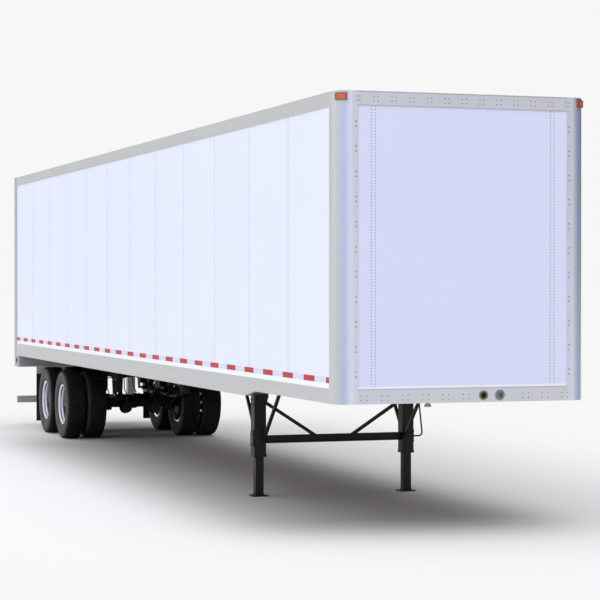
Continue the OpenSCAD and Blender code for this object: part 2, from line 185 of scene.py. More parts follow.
M = {}
M["wall"] = paint("wall_skin", (0.735, 0.79, 1.0), 0.32, 0.30, 0.985, waves=0.03)
M["front"] = paint("front_skin", (0.695, 0.727, 0.965), 0.30, 0.45, 0.985, waves=0.03)
M["roof"] = paint("roof_skin", (0.70, 0.72, 0.76), 0.4, 0.4, 0.95, waves=0.12)
M["rail"] = metal("rail_extrusion", (0.53, 0.535, 0.55), 0.38, 0.35, (0.15, 1, 1), 0.06, 0.95)
M["rail_front"] = metal("front_rail_extrusion", (0.645, 0.65, 0.73), 0.38, 0.35, (1, 0.15, 1), 0.06, 0.95)
post = Mat("corner_extrusion", (0.60, 0.62, 0.66), 0.30, 0.55, 0.5)
psep = post.node("ShaderNodeSeparateXYZ")
post.link(post.coord.outputs["Object"], psep.inputs[0])
# painted reflection and shade: the corner's colour is set by its place round the curve, grey on the side face, then a
# darker blue band, then pale blue towards the front, standing in for the sky reflected in the curved metal
pin = post.math("DIVIDE", post.math("SUBTRACT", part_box("top_side_rails")[1][1], post.math("ABSOLUTE", psep.outputs[1])), 0.212)
painted_reflection_ramp = post.ramp(pin, [(0.0, (0.56, 0.575, 0.59)), (0.05, (0.535, 0.55, 0.56)), (0.22, (0.45, 0.49, 0.62)), (0.37, (0.42, 0.465, 0.66)),
                       (0.53, (0.56, 0.61, 0.80)), (0.71, (0.735, 0.77, 0.90)), (0.90, (0.70, 0.73, 0.83)), (1.0, (0.68, 0.71, 0.80))])
fine = post.noise(60.0, 3.0, 0.5, post.mapping((1, 1, 0.06)))
post.color(post.mix(post.math("MULTIPLY", fine, 0.06), painted_reflection_ramp, (0.30, 0.31, 0.36)))
post.rough(fine, 0.26, 0.36)
post.bump(fine, 0.012, 0.0004)
M["post"] = post
M["frame"] = metal("rear_frame_paint", (0.42, 0.43, 0.45), 0.45, 0.3, (1, 1, 1), 0.10, 0.86)
M["black"] = paint("black_chassis_paint", (0.010, 0.010, 0.011), 0.50, 0.22, 0.6, waves=0.10)
M["legs"] = paint("black_leg_paint", (0.011, 0.011, 0.012), 0.42, 0.28, 0.6, waves=0.10)
M["steel"] = metal("galvanised", (0.30, 0.31, 0.33), 0.5, 0.7, (1, 1, 1), 0.15, 0.75)
M["zinc"] = metal("zinc_plate", (0.62, 0.63, 0.66), 0.32, 0.9, (1, 1, 0.1), 0.10, 0.82)
M["rivet"] = metal("rivet_heads", (0.27, 0.275, 0.32), 0.34, 0.7, (1, 1, 1), 0.05, 0.85)
# a darker copy of the front rail colour, for painted shadow lines along the rails' edges
M["bead"] = metal("rail_bead_painted_shadow", (0.46, 0.465, 0.55), 0.40, 0.3, (1, 0.2, 1), 0.05, 0.93)
M["seam"] = paint("seam_strip", (0.60, 0.655, 0.87), 0.35, 0.3, 0.97, waves=0.03)
M["liner"] = paint("lining_board", (0.58, 0.56, 0.50), 0.55, 0.3, 0.86, waves=0.10)
M["brass_dull"] = metal("coupling_brass_dull", (0.085, 0.085, 0.022), 0.45, 0.5, (1, 1, 1), 0.08, 0.6)
M["brass"] = metal("coupling_brass", (0.55, 0.50, 0.16), 0.35, 0.9, (1, 1, 1), 0.08, 0.7)
M["iron"] = metal("cast_iron", (0.10, 0.075, 0.06), 0.62, 0.6, (1, 1, 1), 0.3, 0.55)
M["bare"] = metal("machined_steel", (0.34, 0.34, 0.35), 0.33, 1.0, (1, 1, 1), 0.12, 0.7)
M["cable"] = paint("cable_jacket", (0.016, 0.016, 0.017), 0.55, 0.35, 0.7, waves=0.05)


def tape(name, color):
    """Retroreflective sheeting: a fine hexagonal cell under a glossy face."""
    m = Mat(name, color, 0.38, 0.0, 0.12, 0.0, 0.08)
    v = m.node("ShaderNodeTexVoronoi", feature="DISTANCE_TO_EDGE")
    v.inputs["Scale"].default_value = 220.0
    v.inputs["Randomness"].default_value = 0.15
    m.link(m.coord.outputs["Object"], v.inputs["Vector"])
    cell = m.ramp(v.outputs["Distance"], [(0.02, lerp(color, (0, 0, 0), 0.16)), (0.10, color)])
    m.color(m.mix(m.math("MULTIPLY", m.noise(5.0, 3.0), 0.10), cell, lerp(color, (0.25, 0.25, 0.25), 0.25)))
    m.bump(v.outputs["Distance"], 0.08, 0.0006)
    return m


M["tape_red"] = tape("tape_red", (0.50, 0.022, 0.034))
M["tape_white"] = tape("tape_white", (0.66, 0.72, 0.86))
M["tape_edge"] = tape("tape_bright", (0.88, 0.92, 1.0))


def lens(name, color, glow):
    """Moulded lens with fine flutes, painted in alternating bands of a lighter colour: a painted highlight on the
    flutes.
    """
    m = Mat(name, color, 0.16, 0.0, 0.5, 0.7, 0.05)
    w = m.node("ShaderNodeTexWave", wave_type="BANDS", bands_direction="Z")
    w.inputs["Scale"].default_value = 60.0
    w.inputs["Distortion"].default_value = 0.0
    m.link(m.coord.outputs["Object"], w.inputs["Vector"])
    m.color(m.mix(m.math("MULTIPLY", w.outputs["Fac"], 0.55), color, glow))
    m.bump(w.outputs["Fac"], 0.35, 0.0015)
    return m


M["amber"] = lens("lens_amber", (0.30, 0.040, 0.012), (0.40, 0.065, 0.018))
# painted light: the centre lenses take a lighter copy of the amber lens colour than the lamp body, lit and shaded
# copies of one lens
M["amber_bright"] = lens("lens_amber_centre_painted_lit", (0.50, 0.088, 0.020), (0.64, 0.14, 0.034))
M["red_lens"] = lens("lens_red", (0.42, 0.008, 0.008), (0.66, 0.03, 0.02))
M["clear"] = lens("lens_clear", (0.62, 0.64, 0.68), (0.80, 0.82, 0.85))

wood = Mat("floor_boards", (0.33, 0.17, 0.075), 0.5, 0.0, 0.4)
bv = wood.mapping((0.35, 8.0, 8.0))
grain = wood.noise(9.0, 6.0, 0.65, bv, 1.2)
sep = wood.node("ShaderNodeSeparateXYZ")
wood.link(wood.coord.outputs["Object"], sep.inputs[0])
plank = wood.math("FRACT", wood.math("MULTIPLY", sep.outputs[1], 32.0))
joint = wood.math("LESS_THAN", plank, 0.05)
tone = wood.ramp(wood.math("ADD", wood.math("MULTIPLY", grain, 0.7),
                 wood.math("MULTIPLY", wood.noise(1.0, 1.0, 0.5, wood.mapping((0.4, 32.0, 1.0))), 0.3)),
                 [(0.30, (0.20, 0.095, 0.040)), (0.52, (0.36, 0.19, 0.085)), (0.75, (0.47, 0.28, 0.14))])
wood.color(wood.mix(joint, tone, (0.07, 0.035, 0.02)))
wood.rough(grain, 0.38, 0.62)
wood.bump(grain, 0.25, 0.001)
wood.bump(wood.math("SUBTRACT", 1.0, joint), 0.5, 0.002)
M["wood"] = wood

# rubber: tread and sidewalls
def rubber(name, color, rough):
    m = Mat(name, color, rough, 0.0, 0.16)
    n = m.noise(3.5, 4.0)
    m.color(m.ramp(n, [(0.35, lerp(color, (0, 0, 0), 0.25)), (0.65, lerp(color, (0.2, 0.19, 0.17), 0.03))]))
    m.rough(m.noise(18.0, 4.0), rough - 0.08, rough + 0.12)
    m.bump(m.noise(90.0, 3.0), 0.10, 0.0012)
    return m


M["tread"] = rubber("tyre_tread", (0.007, 0.007, 0.0075), 0.78)
M["sidewall"] = rubber("tyre_sidewall", (0.074, 0.074, 0.076), 0.60)
M["flap"] = rubber("flap_rubber", (0.014, 0.014, 0.015), 0.55)
M["gasket"] = rubber("door_gasket", (0.020, 0.020, 0.022), 0.60)

# wheels: polished discs, with a cast drum and hub barrel further in
whl = Mat("wheel_metal", (0.80, 0.80, 0.86), 0.14, 1.0, 0.5)
sepw = whl.node("ShaderNodeSeparateXYZ")
whl.link(whl.coord.outputs["Object"], sepw.inputs[0])
ay = whl.math("ABSOLUTE", sepw.outputs[1])
DRUM = 0.885
iny = whl.math("LESS_THAN", ay, DRUM)
axes_x = [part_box(n)[0][0] / 2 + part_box(n)[1][0] / 2 for n in ("front_left_tyres", "rear_left_tyres")]
tyre_lo, tyre_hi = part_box("front_left_tyres")
TR = (tyre_hi[2] - tyre_lo[2]) / 2
dz = whl.math("SUBTRACT", sepw.outputs[2], TR)
dx = whl.math("MINIMUM", whl.math("ABSOLUTE", whl.math("SUBTRACT", sepw.outputs[0], axes_x[0])),
              whl.math("ABSOLUTE", whl.math("SUBTRACT", sepw.outputs[0], axes_x[1])))
rr = whl.math("SQRT", whl.math("ADD", whl.math("MULTIPLY", dx, dx), whl.math("MULTIPLY", dz, dz)))
inr = whl.math("LESS_THAN", rr, 0.232)
drum = whl.math("MULTIPLY", iny, inr)
scr = whl.noise(140.0, 3.0, 0.5)
tone_w = whl.ramp(rr, [(0.170, (0.52, 0.52, 0.60)), (0.196, (0.24, 0.24, 0.29)), (0.232, (0.20, 0.20, 0.25)), (0.262, (0.36, 0.36, 0.43)),
                      (0.272, (0.80, 0.80, 0.88)), (0.300, (0.86, 0.86, 0.93))])
base = whl.mix(whl.math("MULTIPLY", whl.noise(2.6, 3.0), 0.25), tone_w, (0.42, 0.42, 0.48))
whl.color(whl.mix(drum, base, (0.035, 0.030, 0.027)))
rmix = whl.math("ADD", whl.math("MULTIPLY", scr, 0.10), whl.math("ADD", 0.08, whl.math("MULTIPLY", drum, 0.5)))
whl.link(rmix, whl.bsdf.inputs["Roughness"])
whl.bump(scr, 0.03, 0.0006)
M["wheel"] = whl

NODE_MAT = {
    "left_side_wall": "wall", "right_side_wall": "wall", "front_wall": "front", "roof": "roof",
    "floor": "wood", "top_side_rails": "rail", "bottom_side_rails": "rail", "front_corner_posts": "post",
    "front_top_rail": "rail_front", "front_bottom_rail": "rail_front", "rear_corner_posts": "frame",
    "rear_header": "frame", "rear_sill": "frame", "rear_impact_guard": "frame",
    "mud_flap_brackets": "rail", "left_door": "wall", "right_door": "wall", "mud_flaps": "flap",
    "left_door_hardware": "zinc", "right_door_hardware": "zinc", "crossmembers": "steel",
    "front_marker_lamps": "amber", "rear_lamps": "red_lens", "air_coupling": "brass_dull",
    "electric_coupling": "bare", "kingpin": "bare", "leg_housings": "legs", "landing_legs": "legs",
    "landing_gear_braces": "legs", "crank_handle": "legs",
    "front_left_wheels": "wheel", "front_right_wheels": "wheel", "rear_left_wheels": "wheel",
    "rear_right_wheels": "wheel",
}
for name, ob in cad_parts.items():
    m = M[NODE_MAT.get(name, "black")]
    ob.data.materials.clear()
    ob.data.materials.append(m.m)

# ---------------------------------------------------------------- places, from the frame
def corners(name):
    lo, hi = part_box(name)
    return Vector(lo), Vector(hi)


RW_LO, RW_HI = corners("right_side_wall")
LW_LO, LW_HI = corners("left_side_wall")
TS_LO, TS_HI = corners("top_side_rails")
BS_LO, BS_HI = corners("bottom_side_rails")
FP_LO, FP_HI = corners("front_corner_posts")
FT_LO, FT_HI = corners("front_top_rail")
FB_LO, FB_HI = corners("front_bottom_rail")
FW_LO, FW_HI = corners("front_wall")
RP_LO, RP_HI = corners("rear_corner_posts")
SILL_LO, SILL_HI = corners("rear_sill")
DL_LO, DL_HI = corners("left_door")
HW = TS_HI.y                   # half width over the rails
NOSE = FT_HI.x
REAR = DL_LO.x                 # faces of the closed doors
WALL_Y = LW_HI.y               # outer face of the side walls
TOP = FP_HI.z
RAIL_TOP = BS_HI.z if BS_HI.z < 1.4 else 1.374
TOP_LOW = TS_LO.z
SILL_LOW = SILL_LO.z
FLOOR_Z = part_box("floor")[1][2]
CROSS_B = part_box("crossmembers")[0][2]


class Build:
    """Collects closed shapes into one mesh."""
    def __init__(self):
        self.v, self.f, self.mi, self.cur = [], [], [], 0

    def add(self, verts, faces):
        o = len(self.v)
        self.v += [tuple(p) for p in verts]
        self.f += [tuple(i + o for i in f) for f in faces]
        self.mi += [self.cur] * len(faces)

    def box(self, a, b):
        (x0, y0, z0), (x1, y1, z1) = [min(p, q) for p, q in zip(a, b)], [max(p, q) for p, q in zip(a, b)]
        self.add([(x0, y0, z0), (x1, y0, z0), (x1, y1, z0), (x0, y1, z0),
                  (x0, y0, z1), (x1, y0, z1), (x1, y1, z1), (x0, y1, z1)],
                 [(0, 3, 2, 1), (4, 5, 6, 7), (0, 1, 5, 4), (1, 2, 6, 5), (2, 3, 7, 6), (3, 0, 4, 7)])

    def prism(self, pts, depth):
        """pts: a flat outline of 3-D points; depth: the vector it is drawn along."""
        n = len(pts)
        d = Vector(depth)
        vs = [Vector(p) for p in pts] + [Vector(p) + d for p in pts]
        self.add(vs, [tuple(range(n))[::-1], tuple(range(n, 2 * n))] +
                 [(i, (i + 1) % n, (i + 1) % n + n, i + n) for i in range(n)])

    def turned(self, prof, centre, axis, segs=24, closed=False):
        """prof: (radius, height) pairs turned round axis through centre; radius 0 closes an end."""
        a = Vector(axis).normalized()
        u = a.orthogonal().normalized()
        w = a.cross(u)
        c = Vector(centre)
        rings, verts, faces = [], [], []
        for r, h in prof:
            if r < 1e-7:
                rings.append([len(verts)])
                verts.append(c + a * h)
            else:
                rings.append(list(range(len(verts), len(verts) + segs)))
                for k in range(segs):
                    t = 2 * math.pi * k / segs
                    verts.append(c + a * h + (u * math.cos(t) + w * math.sin(t)) * r)
        pairs = list(zip(rings, rings[1:])) + ([(rings[-1], rings[0])] if closed else [])
        for A, Bq in pairs:
            for k in range(segs):
                j = (k + 1) % segs
                if len(A) == 1 and len(Bq) > 1:
                    faces.append((A[0], Bq[j], Bq[k]))
                elif len(Bq) == 1 and len(A) > 1:
                    faces.append((A[k], A[j], Bq[0]))
                elif len(A) > 1:
                    faces.append((A[k], A[j], Bq[j], Bq[k]))
        if not closed:
            if len(rings[0]) > 1:
                faces.append(tuple(rings[0][::-1]))
            if len(rings[-1]) > 1:
                faces.append(tuple(rings[-1]))
        self.add(verts, faces)

    def rivet(self, p, n, r=0.006, h=0.003, segs=8):
        self.turned([(r, -0.001), (r, h * 0.35), (r * 0.62, h * 0.85), (0, h)], p, n, segs)

    def bolt(self, p, n, r=0.012, h=0.009):
        """Washer, hexagon head and a stub of thread."""
        self.turned([(0, -0.001), (r * 1.35, -0.001), (r * 1.35, h * 0.22), (r * 0.9, h * 0.25)], p, n, 16)
        self.turned([(r, h * 0.15), (r, h * 0.9), (r * 0.86, h)], p, n, 6)
        self.turned([(r * 0.5, h * 0.9), (r * 0.5, h * 1.35), (r * 0.4, h * 1.5)], p, n, 10)

    def pipe(self, pts, r, segs=8):
        """A round tube through points, with its corners rounded."""
        pts = [Vector(p) for p in pts]
        path = [pts[0]]
        for a, b, c in zip(pts, pts[1:], pts[2:]):
            d = min((a - b).length, (c - b).length) * 0.45
            d = min(d, r * 8)
            p0, p1 = b + (a - b).normalized() * d, b + (c - b).normalized() * d
            for k in range(6):
                t = k / 5
                path.append(p0 * (1 - t) ** 2 + b * 2 * t * (1 - t) + p1 * t ** 2)
        path.append(pts[-1])
        verts, faces = [], []
        up = None
        for i, p in enumerate(path):
            d = (path[min(i + 1, len(path) - 1)] - path[max(i - 1, 0)]).normalized()
            if up is None:
                up = d.orthogonal().normalized()
            up = (up - d * up.dot(d)).normalized()
            w = d.cross(up)
            for k in range(segs):
                t = 2 * math.pi * k / segs
                verts.append(p + (up * math.cos(t) + w * math.sin(t)) * r)
        for i in range(len(path) - 1):
            for k in range(segs):
                j = (k + 1) % segs
                faces.append((i * segs + k, i * segs + j, (i + 1) * segs + j, (i + 1) * segs + k))
        faces.append(tuple(range(segs))[::-1])
        faces.append(tuple(range((len(path) - 1) * segs, len(path) * segs)))
        self.add(verts, faces)

    def make(self, name, body, mats, slot, angle=35, bevel=0.0):
        me = bpy.data.meshes.new(name)
        me.from_pydata(self.v, [], self.f)
        for m in (mats if isinstance(mats, (list, tuple)) else [mats]):
            me.materials.append(M[m].m)
        me.polygons.foreach_set("material_index", self.mi)
        bm = bmesh.new()
        bm.from_mesh(me)
        bmesh.ops.recalc_face_normals(bm, faces=bm.faces)
        bm.to_mesh(me)
        bm.free()
        me.shade_smooth()
        me.set_sharp_from_angle(angle=math.radians(angle))
        ob = bpy.data.objects.new(name, me)
        sc.collection.objects.link(ob)
        if bevel:
            b = ob.modifiers.new("edges", "BEVEL")
            b.width, b.segments, b.limit_method, b.angle_limit = bevel, 2, "ANGLE", math.radians(40)
            b.harden_normals = True
        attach(ob, body)
        return ob


def at(s):
    """Lengthwise place, from the distance behind the nose."""
    return NOSE - s


SIDES = (1, -1)

# ---------------------------------------------------------------- body sides
SEAM_1, PANEL = 1.462, 1.314
seams = Build()
for sd in SIDES:
    for k in range(11):
        x = at(SEAM_1 + PANEL * k)
        y0, y1 = sd * (WALL_Y - 0.0005), sd * (WALL_Y + 0.0018)
        z0, z1 = RAIL_TOP - 0.004, TOP_LOW + 0.004
        seams.prism([(x - 0.017, y0, z0), (x + 0.017, y0, z0), (x + 0.012, y1, z0), (x - 0.012, y1, z0)], (0, 0, z1 - z0))
seams.make("side_seam_strips", "trailer_body", "seam", "wall_panel", 20)

rv = Build()
for sd in SIDES:
    for k in range(11):
        x = at(SEAM_1 + PANEL * k)
        for j in range(42):
            for o in (-0.026, 0.026):
                rv.rivet((x + o, sd * WALL_Y, 1.52 + j * 0.06), (0, sd, 0), 0.0045, 0.0016, 6)
rv.make("side_seam_rivets", "trailer_body", "wall", "wall_panel", 60)

rv = Build()
n = int((FP_LO.x - BS_LO.x) / 0.075)
for sd in SIDES:
    for k in range(n):
        x = BS_LO.x + 0.05 + k * 0.075
        if x > at(0.24):
            break
        rv.rivet((x, sd * HW, RAIL_TOP - 0.016), (0, sd, 0), 0.0055, 0.0018, 6)
        rv.rivet((x, sd * HW, TOP_LOW + 0.016), (0, sd, 0), 0.0055, 0.0018, 6)
        if k % 4 == 0:
            rv.rivet((x, sd * HW, 1.262), (0, sd, 0), 0.008, 0.0018, 8)
rv.make("side_rail_rivets", "trailer_body", "rail", "rail_aluminium", 60)

# lips pressed along the rails
lipb = Build()
for sd in SIDES:
    y0, y1 = sd * (HW - 0.001), sd * (HW + 0.0018)
    for z in (RAIL_TOP - 0.036, 1.214, TOP_LOW + 0.036, TOP - 0.012):
        # the low lip stops where the rail rises towards the nose
        x1 = at(2.72) if z < 1.22 else at(0.217)
        lipb.prism([(BS_LO.x, y0, z - 0.004), (BS_LO.x, y0, z + 0.004), (BS_LO.x, y1, z + 0.0015), (BS_LO.x, y1, z - 0.0015)],
                   (x1 - BS_LO.x, 0, 0))
lipb.make("side_rail_beads", "trailer_body", "rail", "rail_aluminium", 30)

tp = Build()
Z0, Z1 = 1.427, 1.482
S0, S1, PITCH, LEN = 0.2175, 15.958, 0.6545, 0.325
for sd in SIDES:
    ya, yb, yc = sd * (WALL_Y - 0.0005), sd * (WALL_Y + 0.0028), sd * (WALL_Y + 0.0025)
    for k in range(-1, 24):
        a, b = 0.647 + PITCH * k, 0.972 + PITCH * k
        if b > S0 and a < S1:
            tp.cur = 0
            tp.box((at(max(a, S0)), ya, Z0), (at(min(b, S1)), yb, Z1))
        tp.cur = 1
        a2, b2 = b, a + PITCH
        if b2 > S0 and a2 < S1:
            tp.box((at(max(a2, S0)), ya, Z0), (at(min(b2, S1)), yb, Z1))
    tp.cur = 2
    tp.box((at(S0), ya, RAIL_TOP + 0.0005), (at(S1), yc, Z0 - 0.001))
tp.make("side_reflective_tape", "trailer_body", ["tape_red", "tape_white", "tape_edge"], "wall_panel", 20)


# ---------------------------------------------------------------- front
def grid4(b, y, z, dy, dz, r=0.0065, h=0.0035, x=None):
    for oy in (-dy / 2, dy / 2):
        for oz in (-dz / 2, dz / 2):
            b.rivet((x if x is not None else NOSE, y + oy, z + oz), (1, 0, 0), r, h, 8)


rv = Build()
for yc in (0.9095, 0.9475):
    for sd in SIDES:
        k = 0
        while 1.396 + 0.029 * k < FT_LO.z - 0.004:
            rv.rivet((FW_HI.x, sd * yc, 1.396 + 0.029 * k), (1, 0, 0), 0.0052, 0.0034, 8)
            k += 1
rv.make("front_panel_rivets", "trailer_body", "rivet", "front_panel", 60)

# pale sealing strip along the foot of the front panel
ss = Build()
ss.box((FW_HI.x - 0.001, -(HW - 0.214), FB_HI.z + 0.0005), (FW_HI.x + 0.003, HW - 0.214, FB_HI.z + 0.022))
ss.make("front_panel_foot_strip", "trailer_body", "tape_edge", "front_panel", 20)

rv = Build()
for sd in SIDES:
    for k in range(12):
        z = 1.281 + 0.2353 * k
        for o in (-0.0235, 0.0235):
            if FB_HI.z + 0.005 < z + o < TOP_LOW - 0.01 or k:
                rv.rivet((NOSE, sd * (HW - 0.190), z + o), (1, 0, 0), 0.0078, 0.0045, 8)
                rv.rivet((at(0.196), sd * HW, z + o), (0, sd, 0), 0.0055, 0.0018, 8)
for k in range(11):
    y = -(HW - 0.2705) + 0.2085 * k
    if abs(y - 0.199) < 0.075 or abs(y - 0.370) < 0.08:
        continue
    grid4(rv, y, 1.292, 0.062, 0.043)
for k in range(13):
    y = -1.0815 + 0.18025 * k
    grid4(rv, y, 4.109, 0.043 if 0 < k < 12 else 0.030, 0.040)
rv.make("front_frame_rivets", "trailer_body", "rivet", "rail_aluminium", 60)

# thin beads along the front rails' edges, coloured dark as painted shadow lines where the rails meet the panel
fb = Build()
yb0 = HW - 0.2125
for z0, z1 in ((FT_LO.z + 0.0005, FT_LO.z + 0.009), (FB_HI.z - 0.009, FB_HI.z - 0.0005)):
    fb.prism([(NOSE - 0.001, -yb0, z0), (NOSE + 0.0012, -yb0, z0 + 0.002), (NOSE + 0.0012, -yb0, z1 - 0.002), (NOSE - 0.001, -yb0, z1)], (0, 2 * yb0, 0))
fb.prism([(NOSE - 0.001, -yb0, TOP - 0.014), (NOSE + 0.0025, -yb0, TOP - 0.010), (NOSE + 0.0025, -yb0, TOP - 0.003), (NOSE - 0.001, -yb0, TOP - 0.001)], (0, 2 * yb0, 0))
fb.make("front_rail_beads_painted_shadow", "trailer_body", "bead", "rail_aluminium", 30)

# flanges of the two fittings, and their screws
AC_LO, AC_HI = corners("air_coupling")
EC_LO, EC_HI = corners("electric_coupling")
ft = Build()
for lo, hi, r in ((AC_LO, AC_HI, 0.035), (EC_LO, EC_HI, 0.038)):
    y, z = (lo.y + hi.y) / 2, (lo.z + hi.z) / 2
    ft.turned([(r + 0.001, -0.001), (r + 0.013, -0.001), (r + 0.013, 0.0025), (r + 0.010, 0.004), (r + 0.001, 0.004)],
              (NOSE, y, z), (1, 0, 0), 40, closed=True)
    for k in range(4):
        t = math.pi / 4 + k * math.pi / 2
        ft.bolt((NOSE + 0.003, y + math.cos(t) * (r + 0.007), z + math.sin(t) * (r + 0.007)), (1, 0, 0), 0.0028, 0.002)
ft.make("front_fitting_flanges", "trailer_body", "bare", "galvanised_steel", 40)
ft = Build()
y, z = (EC_LO.y + EC_HI.y) / 2, (EC_LO.z + EC_HI.z) / 2
for k in range(7):
    t = k * math.pi / 3
    oy, oz = (0, 0) if k == 6 else (0.014 * math.cos(t), 0.014 * math.sin(t))
    ft.turned([(0.0034, 0), (0.0034, 0.011), (0.002, 0.0135)], (NOSE - 0.0245, y + oy, z + oz), (1, 0, 0), 10)
ft.make("electric_socket_pins", "trailer_body", "brass", "coupling_brass", 40)

# marker lamp bases, seated round each front corner
mb = Build()
CX, CY, CR = at(0.15), HW - 0.15, 0.15
ML_LO, ML_HI = corners("front_marker_lamps")
for sd in SIDES:
    a0, a1 = math.radians(15.2), math.radians(62.8)
    for (r0, r1, z0, z1) in ((CR + 0.0002, CR + 0.006, ML_LO.z - 0.007, ML_LO.z - 0.0005),
                             (CR + 0.0002, CR + 0.006, ML_HI.z + 0.0005, ML_HI.z + 0.007)):
        pts = [(CX + r0 * math.cos(a0 + (a1 - a0) * k / 10), sd * (CY + r0 * math.sin(a0 + (a1 - a0) * k / 10)), z0) for k in range(11)]
        pts += [(CX + r1 * math.cos(a1 - (a1 - a0) * k / 10), sd * (CY + r1 * math.sin(a1 - (a1 - a0) * k / 10)), z0) for k in range(11)]
        mb.prism(pts, (0, 0, z1 - z0))
mb.make("front_marker_lamp_frames", "trailer_body", "bare", "rail_aluminium", 40)
ml = Build()
for sd in SIDES:
    a0, a1, r0, nn = math.radians(26), math.radians(52), CR + 0.0176, 12
    zc = (ML_LO.z + ML_HI.z) / 2
    for j in range(4):
        h0, h1 = 0.021 - 0.005 * j, 0.021 - 0.005 * (j + 1)
        ra, rb = r0 + 0.0012 * j, r0 + 0.0012 * (j + 1)
        b0, b1 = a0 + 0.04 * j, a1 - 0.04 * j
        pts = [(CX + rb * math.cos(b0 + (b1 - b0) * k / nn), sd * (CY + rb * math.sin(b0 + (b1 - b0) * k / nn)), zc - h0) for k in range(nn + 1)]
        pts += [(CX + (ra - 0.002) * math.cos(b1 - (b1 - b0) * k / nn), sd * (CY + (ra - 0.002) * math.sin(b1 - (b1 - b0) * k / nn)), zc - h0) for k in range(nn + 1)]
        ml.prism(pts, (0, 0, 2 * h0))
ml.make("front_marker_lenses", "trailer_body", "amber_bright", "amber_lens", 30)

# ---------------------------------------------------------------- roof
rf = Build()
ROOF_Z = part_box("roof")[1][2]
for k in range(26):
    x = at(0.42 + 0.606 * k)
    if k % 2 == 0:
        rf.prism([(x - 0.022, -HW + 0.05, ROOF_Z - 0.0005), (x + 0.022, -HW + 0.05, ROOF_Z - 0.0005),
                  (x + 0.018, -HW + 0.05, ROOF_Z + 0.0016), (x - 0.018, -HW + 0.05, ROOF_Z + 0.0016)], (0, 2 * HW - 0.10, 0))
for sd in SIDES:
    n = 160
    for k in range(n):
        rf.rivet((REAR + 0.25 + k * (NOSE - REAR - 0.5) / n, sd * (HW - 0.022), TOP - 0.0002), (0, 0, 1), 0.006, 0.002, 6)
    rf.box((REAR + 0.21, sd * (HW - 0.047), ROOF_Z - 0.001), (at(0.16), sd * (HW - 0.062), ROOF_Z + 0.0035))
rf.make("roof_seams", "trailer_body", "roof", "roof_sheet", 40)

# ---------------------------------------------------------------- load space
ls = Build()
IN_Y = LW_LO.y
for sd in SIDES:
    k = 0
    while True:
        x = at(0.55 + 0.4064 * k)
        if x < REAR + 0.30:
            break
        y0, y1 = sd * (IN_Y + 0.0005), sd * (IN_Y - 0.0055)
        ls.prism([(x - 0.038, y0, FLOOR_Z + 0.31), (x - 0.016, y1, FLOOR_Z + 0.31), (x + 0.016, y1, FLOOR_Z + 0.31),
                  (x + 0.038, y0, FLOOR_Z + 0.31)], (0, 0, TOP_LOW - FLOOR_Z - 0.36))
        k += 1
ls.make("load_space_posts", "trailer_body", "zinc", "galvanised_steel", 30)
ls = Build()
for sd in SIDES:
    y0, y1 = sd * (IN_Y + 0.0005), sd * (IN_Y - 0.0055)
    ls.prism([(REAR + 0.20, y0, FLOOR_Z - 0.001), (REAR + 0.20, y1, FLOOR_Z - 0.001), (REAR + 0.20, y1, FLOOR_Z + 0.295),
              (REAR + 0.20, y0, FLOOR_Z + 0.302)], (at(0.17) - REAR - 0.20, 0, 0))
ls.make("load_space_scuff_bands", "trailer_body", "bare", "galvanised_steel", 30)
ls = Build()
for k in range(4):
    y = -1.10 + 0.5525 * k
    ls.prism([(FW_LO.x + 0.0005, y, FLOOR_Z + 0.02), (FW_LO.x + 0.0005, y + 0.5425, FLOOR_Z + 0.02),
              (FW_LO.x - 0.0075, y + 0.5385, FLOOR_Z + 0.02), (FW_LO.x - 0.0075, y + 0.004, FLOOR_Z + 0.02)],
             (0, 0, TOP_LOW - FLOOR_Z - 0.06))
ls.make("front_lining_boards", "trailer_body", "liner", "floor_boards", 30)

# ---------------------------------------------------------------- underside
pipes = Build()
for y, r in ((-0.065, 0.010), (-0.035, 0.010), (0.0, 0.013)):
    pipes.pipe([(at(2.62), y, CROSS_B - 0.016), (at(15.2), y, CROSS_B - 0.016)], r, 8)
for y0, yb, r in (((AC_LO.y + AC_HI.y) / 2, -0.035, 0.010), ((EC_LO.y + EC_HI.y) / 2, 0.0, 0.013)):
    pipes.pipe([(at(0.058), y0, 1.300), (at(0.115), y0, 1.300), (at(0.115), y0, 1.262)], r, 8)
pipes.make("under_floor_lines", "trailer_body", "cable", "black_steel", 50)
cl = Build()
for k in range(0, 42, 3):
    x = at(2.990 + 0.3048 * k)
    cl.prism([(x - 0.015, -0.085, CROSS_B - 0.0005), (x - 0.015, 0.025, CROSS_B - 0.0005), (x - 0.015, 0.022, CROSS_B - 0.0295),
              (x - 0.015, -0.082, CROSS_B - 0.0295)], (0.03, 0, 0))
cl.make("line_clips", "trailer_body", "zinc", "galvanised_steel", 30)

# bolted ends of the crossmembers
cb = Build()
for sd in SIDES:
    for k in range(43):
        x = at(2.990 + 0.3048 * k)
        if x < REAR + 0.45:
            break
        for o in (-0.045, 0.045):
            cb.bolt((x + o, sd * (HW - 0.034), 1.235), (0, -sd, 0), 0.007, 0.006)
cb.make("crossmember_bolts", "trailer_body", "zinc", "zinc_hardware", 40)

# kingpin plate: its ring of bolts
kp = Build()
KP_LO, KP_HI = corners("kingpin")
kx, ky = (KP_LO.x + KP_HI.x) / 2, (KP_LO.y + KP_HI.y) / 2
UC_LO, UC_HI = corners("upper_coupler")
for k in range(8):
    t = math.pi / 8 + k * math.pi / 4
    kp.bolt((kx + 0.075 * math.cos(t), ky + 0.075 * math.sin(t), UC_LO.z), (0, 0, -1), 0.008, 0.003)
kp.make("kingpin_plate_bolts", "trailer_body", "bare", "bare_steel", 40)

